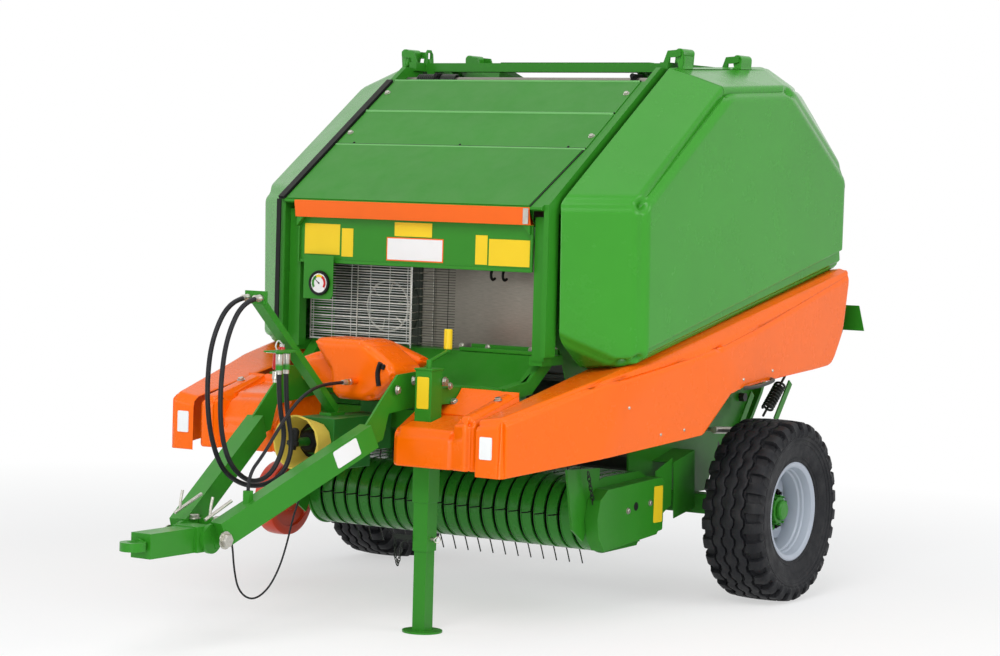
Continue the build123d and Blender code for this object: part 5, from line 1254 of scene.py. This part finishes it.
for x, y, z in ((-0.02, -1.127, 1.06), (-0.052, -1.116, 1.02)):
    ends.turned((x, y, z), (0, 0.1, 1), [
        (0.0, 0.01), (0.012, 0.01), (0.014, 0.0135), (0.044, 0.0135),
    ], 20, end=0.046)
ends.done("coupling_ends", "chassis", "zinc")
rack = Shape()
rack.box((-0.08, -1.145, 1.14), (0.0, -1.085, 1.146))
rack.box((-0.036, -1.112, 1.14), (-0.028, -1.09, 1.176))
rack.tube([(-0.03, -1.13, 1.146), (-0.03, -1.15, 1.17), (-0.03, -1.13, 1.196),
           (-0.03, -1.104, 1.176)], 0.003, 8)
rack.done("coupling_rack", "chassis", "white_paint", "green_paint", bevel=0.001)

# black socket beside the driveline, the driveline's yoke and the guard's dark inside
plug = Shape()
plug.turned((0.0, -1.04, 0.835), (0, -0.25, -1), [
    (0.0, 0.01), (0.01, 0.018), (0.052, 0.02), (0.056, 0.026), (0.07, 0.026), (0.076, 0.016),
    (0.088, 0.016),
], 24, end=0.09)
plug.done("lamp_socket", "chassis", "black_trim", "rubber")
yoke = Shape()
yoke.lathe((0, -0.902, 0.776), (0, -1, 0), [
    (0.0, 0.019), (0.0, 0.074), (0.012, 0.076), (0.018, 0.05), (0.05, 0.046), (0.06, 0.036),
    (0.06, 0.019)], 40)
yoke.done("driveline_seal", "chassis", "black_trim", "dark_plastic")
lip = Shape()
lip.lathe((0, -1.0385, 0.776), (0, 1, 0), [
    (0.0, 0.1085), (0.0, 0.1118), (0.006, 0.1118), (0.006, 0.1085)], 48)
lip.done("driveline_guard_lip", "chassis", "yellow_plastic")

# curved slot of the gear cover and a short dark mark beside it
# The slot is drawn as black tubes on the cover: painted shade in the opening.
slot = Shape()
path = [(0.175, 1.096), (0.166, 1.078), (0.16, 1.05), (0.164, 1.02), (0.168, 1.0)]
slot.tube([(x, -0.7035, z) for x, z in path], 0.0105, 10)
slot.tube([(0.19, -0.703, 1.09), (0.186, -0.703, 1.07)], 0.008, 8)
slot.done("gear_cover_slot", "chassis", "black_trim", "dark_plastic")

# small bolts on the front covers
bits = Shape()
for node, start in (
    ("front_cover_left", (0.66, -0.56, 1.4)), ("front_cover_left", (0.42, -0.52, 1.4)),
    ("front_cover_right", (-0.66, -0.56, 1.4)), ("front_cover_right", (-0.42, -0.52, 1.4)),
):
    place, normal = hit(node, start, (0, 0, -1))
    if place is not None:
        bits.bolt(place, normal if normal.z > 0 else -normal, 0.008)
bits.done("cover_bolts", "chassis", "zinc")

# ---- studio ----------------------------------------------------------------------------------
# the floor glows like the backdrop, less so near the object where its shadow falls
FADE_NEAR, FADE_FAR, GLOW_NEAR = 2.6, 6.0, 0.55
size = 60.0
floor_mesh = bpy.data.meshes.new("floor")
floor_mesh.from_pydata(
    [(-size, -size, 0), (size, -size, 0), (size, size, 0), (-size, size, 0)], [], [(0, 1, 2, 3)]
)
floor = added("floor", floor_mesh)


def seen_directly(tree):
    """1 for rays from the camera, a mirror surface or glass."""
    path = tree.nodes.new("ShaderNodeLightPath")
    value = path.outputs["Is Camera Ray"]
    for other in ("Is Glossy Ray", "Is Transmission Ray"):
        node = tree.nodes.new("ShaderNodeMath")
        node.operation = "MAXIMUM"
        tree.links.new(value, node.inputs[0])
        tree.links.new(path.outputs[other], node.inputs[1])
        value = node.outputs[0]
    return value


ground = Look("floor")
tone = ground.mix(ground.noise(0.8, 3.0), rgb(255, 255, 255), rgb(252, 252, 252))
floor_mesh.materials.append(ground.done(tone, 0.8))
ground.shader.inputs["Specular IOR Level"].default_value = 0.1
tree = ground.tree
glow = tree.nodes.new("ShaderNodeEmission")
blend = tree.nodes.new("ShaderNodeMixShader")
reach = tree.nodes.new("ShaderNodeVectorMath")
reach.operation = "LENGTH"
tree.links.new(ground.coords, reach.inputs[0])
fade = ground.ramp(reach.outputs["Value"], FADE_NEAR, FADE_FAR, GLOW_NEAR, 1.0)
tree.links.new(ground.times(fade, seen_directly(tree)), blend.inputs[0])
tree.links.new(ground.shader.outputs[0], blend.inputs[1])
tree.links.new(glow.outputs[0], blend.inputs[2])
tree.links.new(blend.outputs[0], tree.nodes["Material Output"].inputs["Surface"])

world = bpy.data.worlds.new("world")
bpy.context.scene.world = world
world.use_nodes = True
tree = world.node_tree
background = tree.nodes["Background"]
background.inputs["Color"].default_value = (0.95, 0.97, 1.0, 1.0)
background.inputs["Strength"].default_value = 0.46
white = tree.nodes.new("ShaderNodeBackground")
white.inputs["Color"].default_value = (1, 1, 1, 1)
chooser = tree.nodes.new("ShaderNodeMixShader")
tree.links.new(seen_directly(tree), chooser.inputs[0])
tree.links.new(background.outputs[0], chooser.inputs[1])
tree.links.new(white.outputs[0], chooser.inputs[2])
tree.links.new(chooser.outputs[0], tree.nodes["World Output"].inputs["Surface"])


def lamp(name, place, target, size, power):
    """A soft box that shines at a target."""
    data = bpy.data.lights.new(name, "AREA")
    data.shape = "RECTANGLE"
    data.size, data.size_y = size
    data.energy = power
    thing = added(name, data)
    thing.location = place
    thing.rotation_euler = (Vector(target) - Vector(place)).to_track_quat("-Z", "Y").to_euler()


lamp("key", (3.0, -7.0, 8.0), (0, 0.3, 1.2), (5.0, 5.0), 430)
lamp("side", (9.0, 1.0, 5.5), (0.5, 0.8, 1.3), (6.0, 4.0), 260)
lamp("top", (0.0, 1.0, 9.0), (0, 0.6, 1.2), (6.0, 6.0), 70)
lamp("front_low", (3.5, -8.5, 1.6), (0.1, 0.0, 0.6), (3.5, 1.6), 150)
lamp("left_fill", (-7.0, -6.0, 4.0), (0, -0.5, 1.2), (4.0, 4.0), 100)
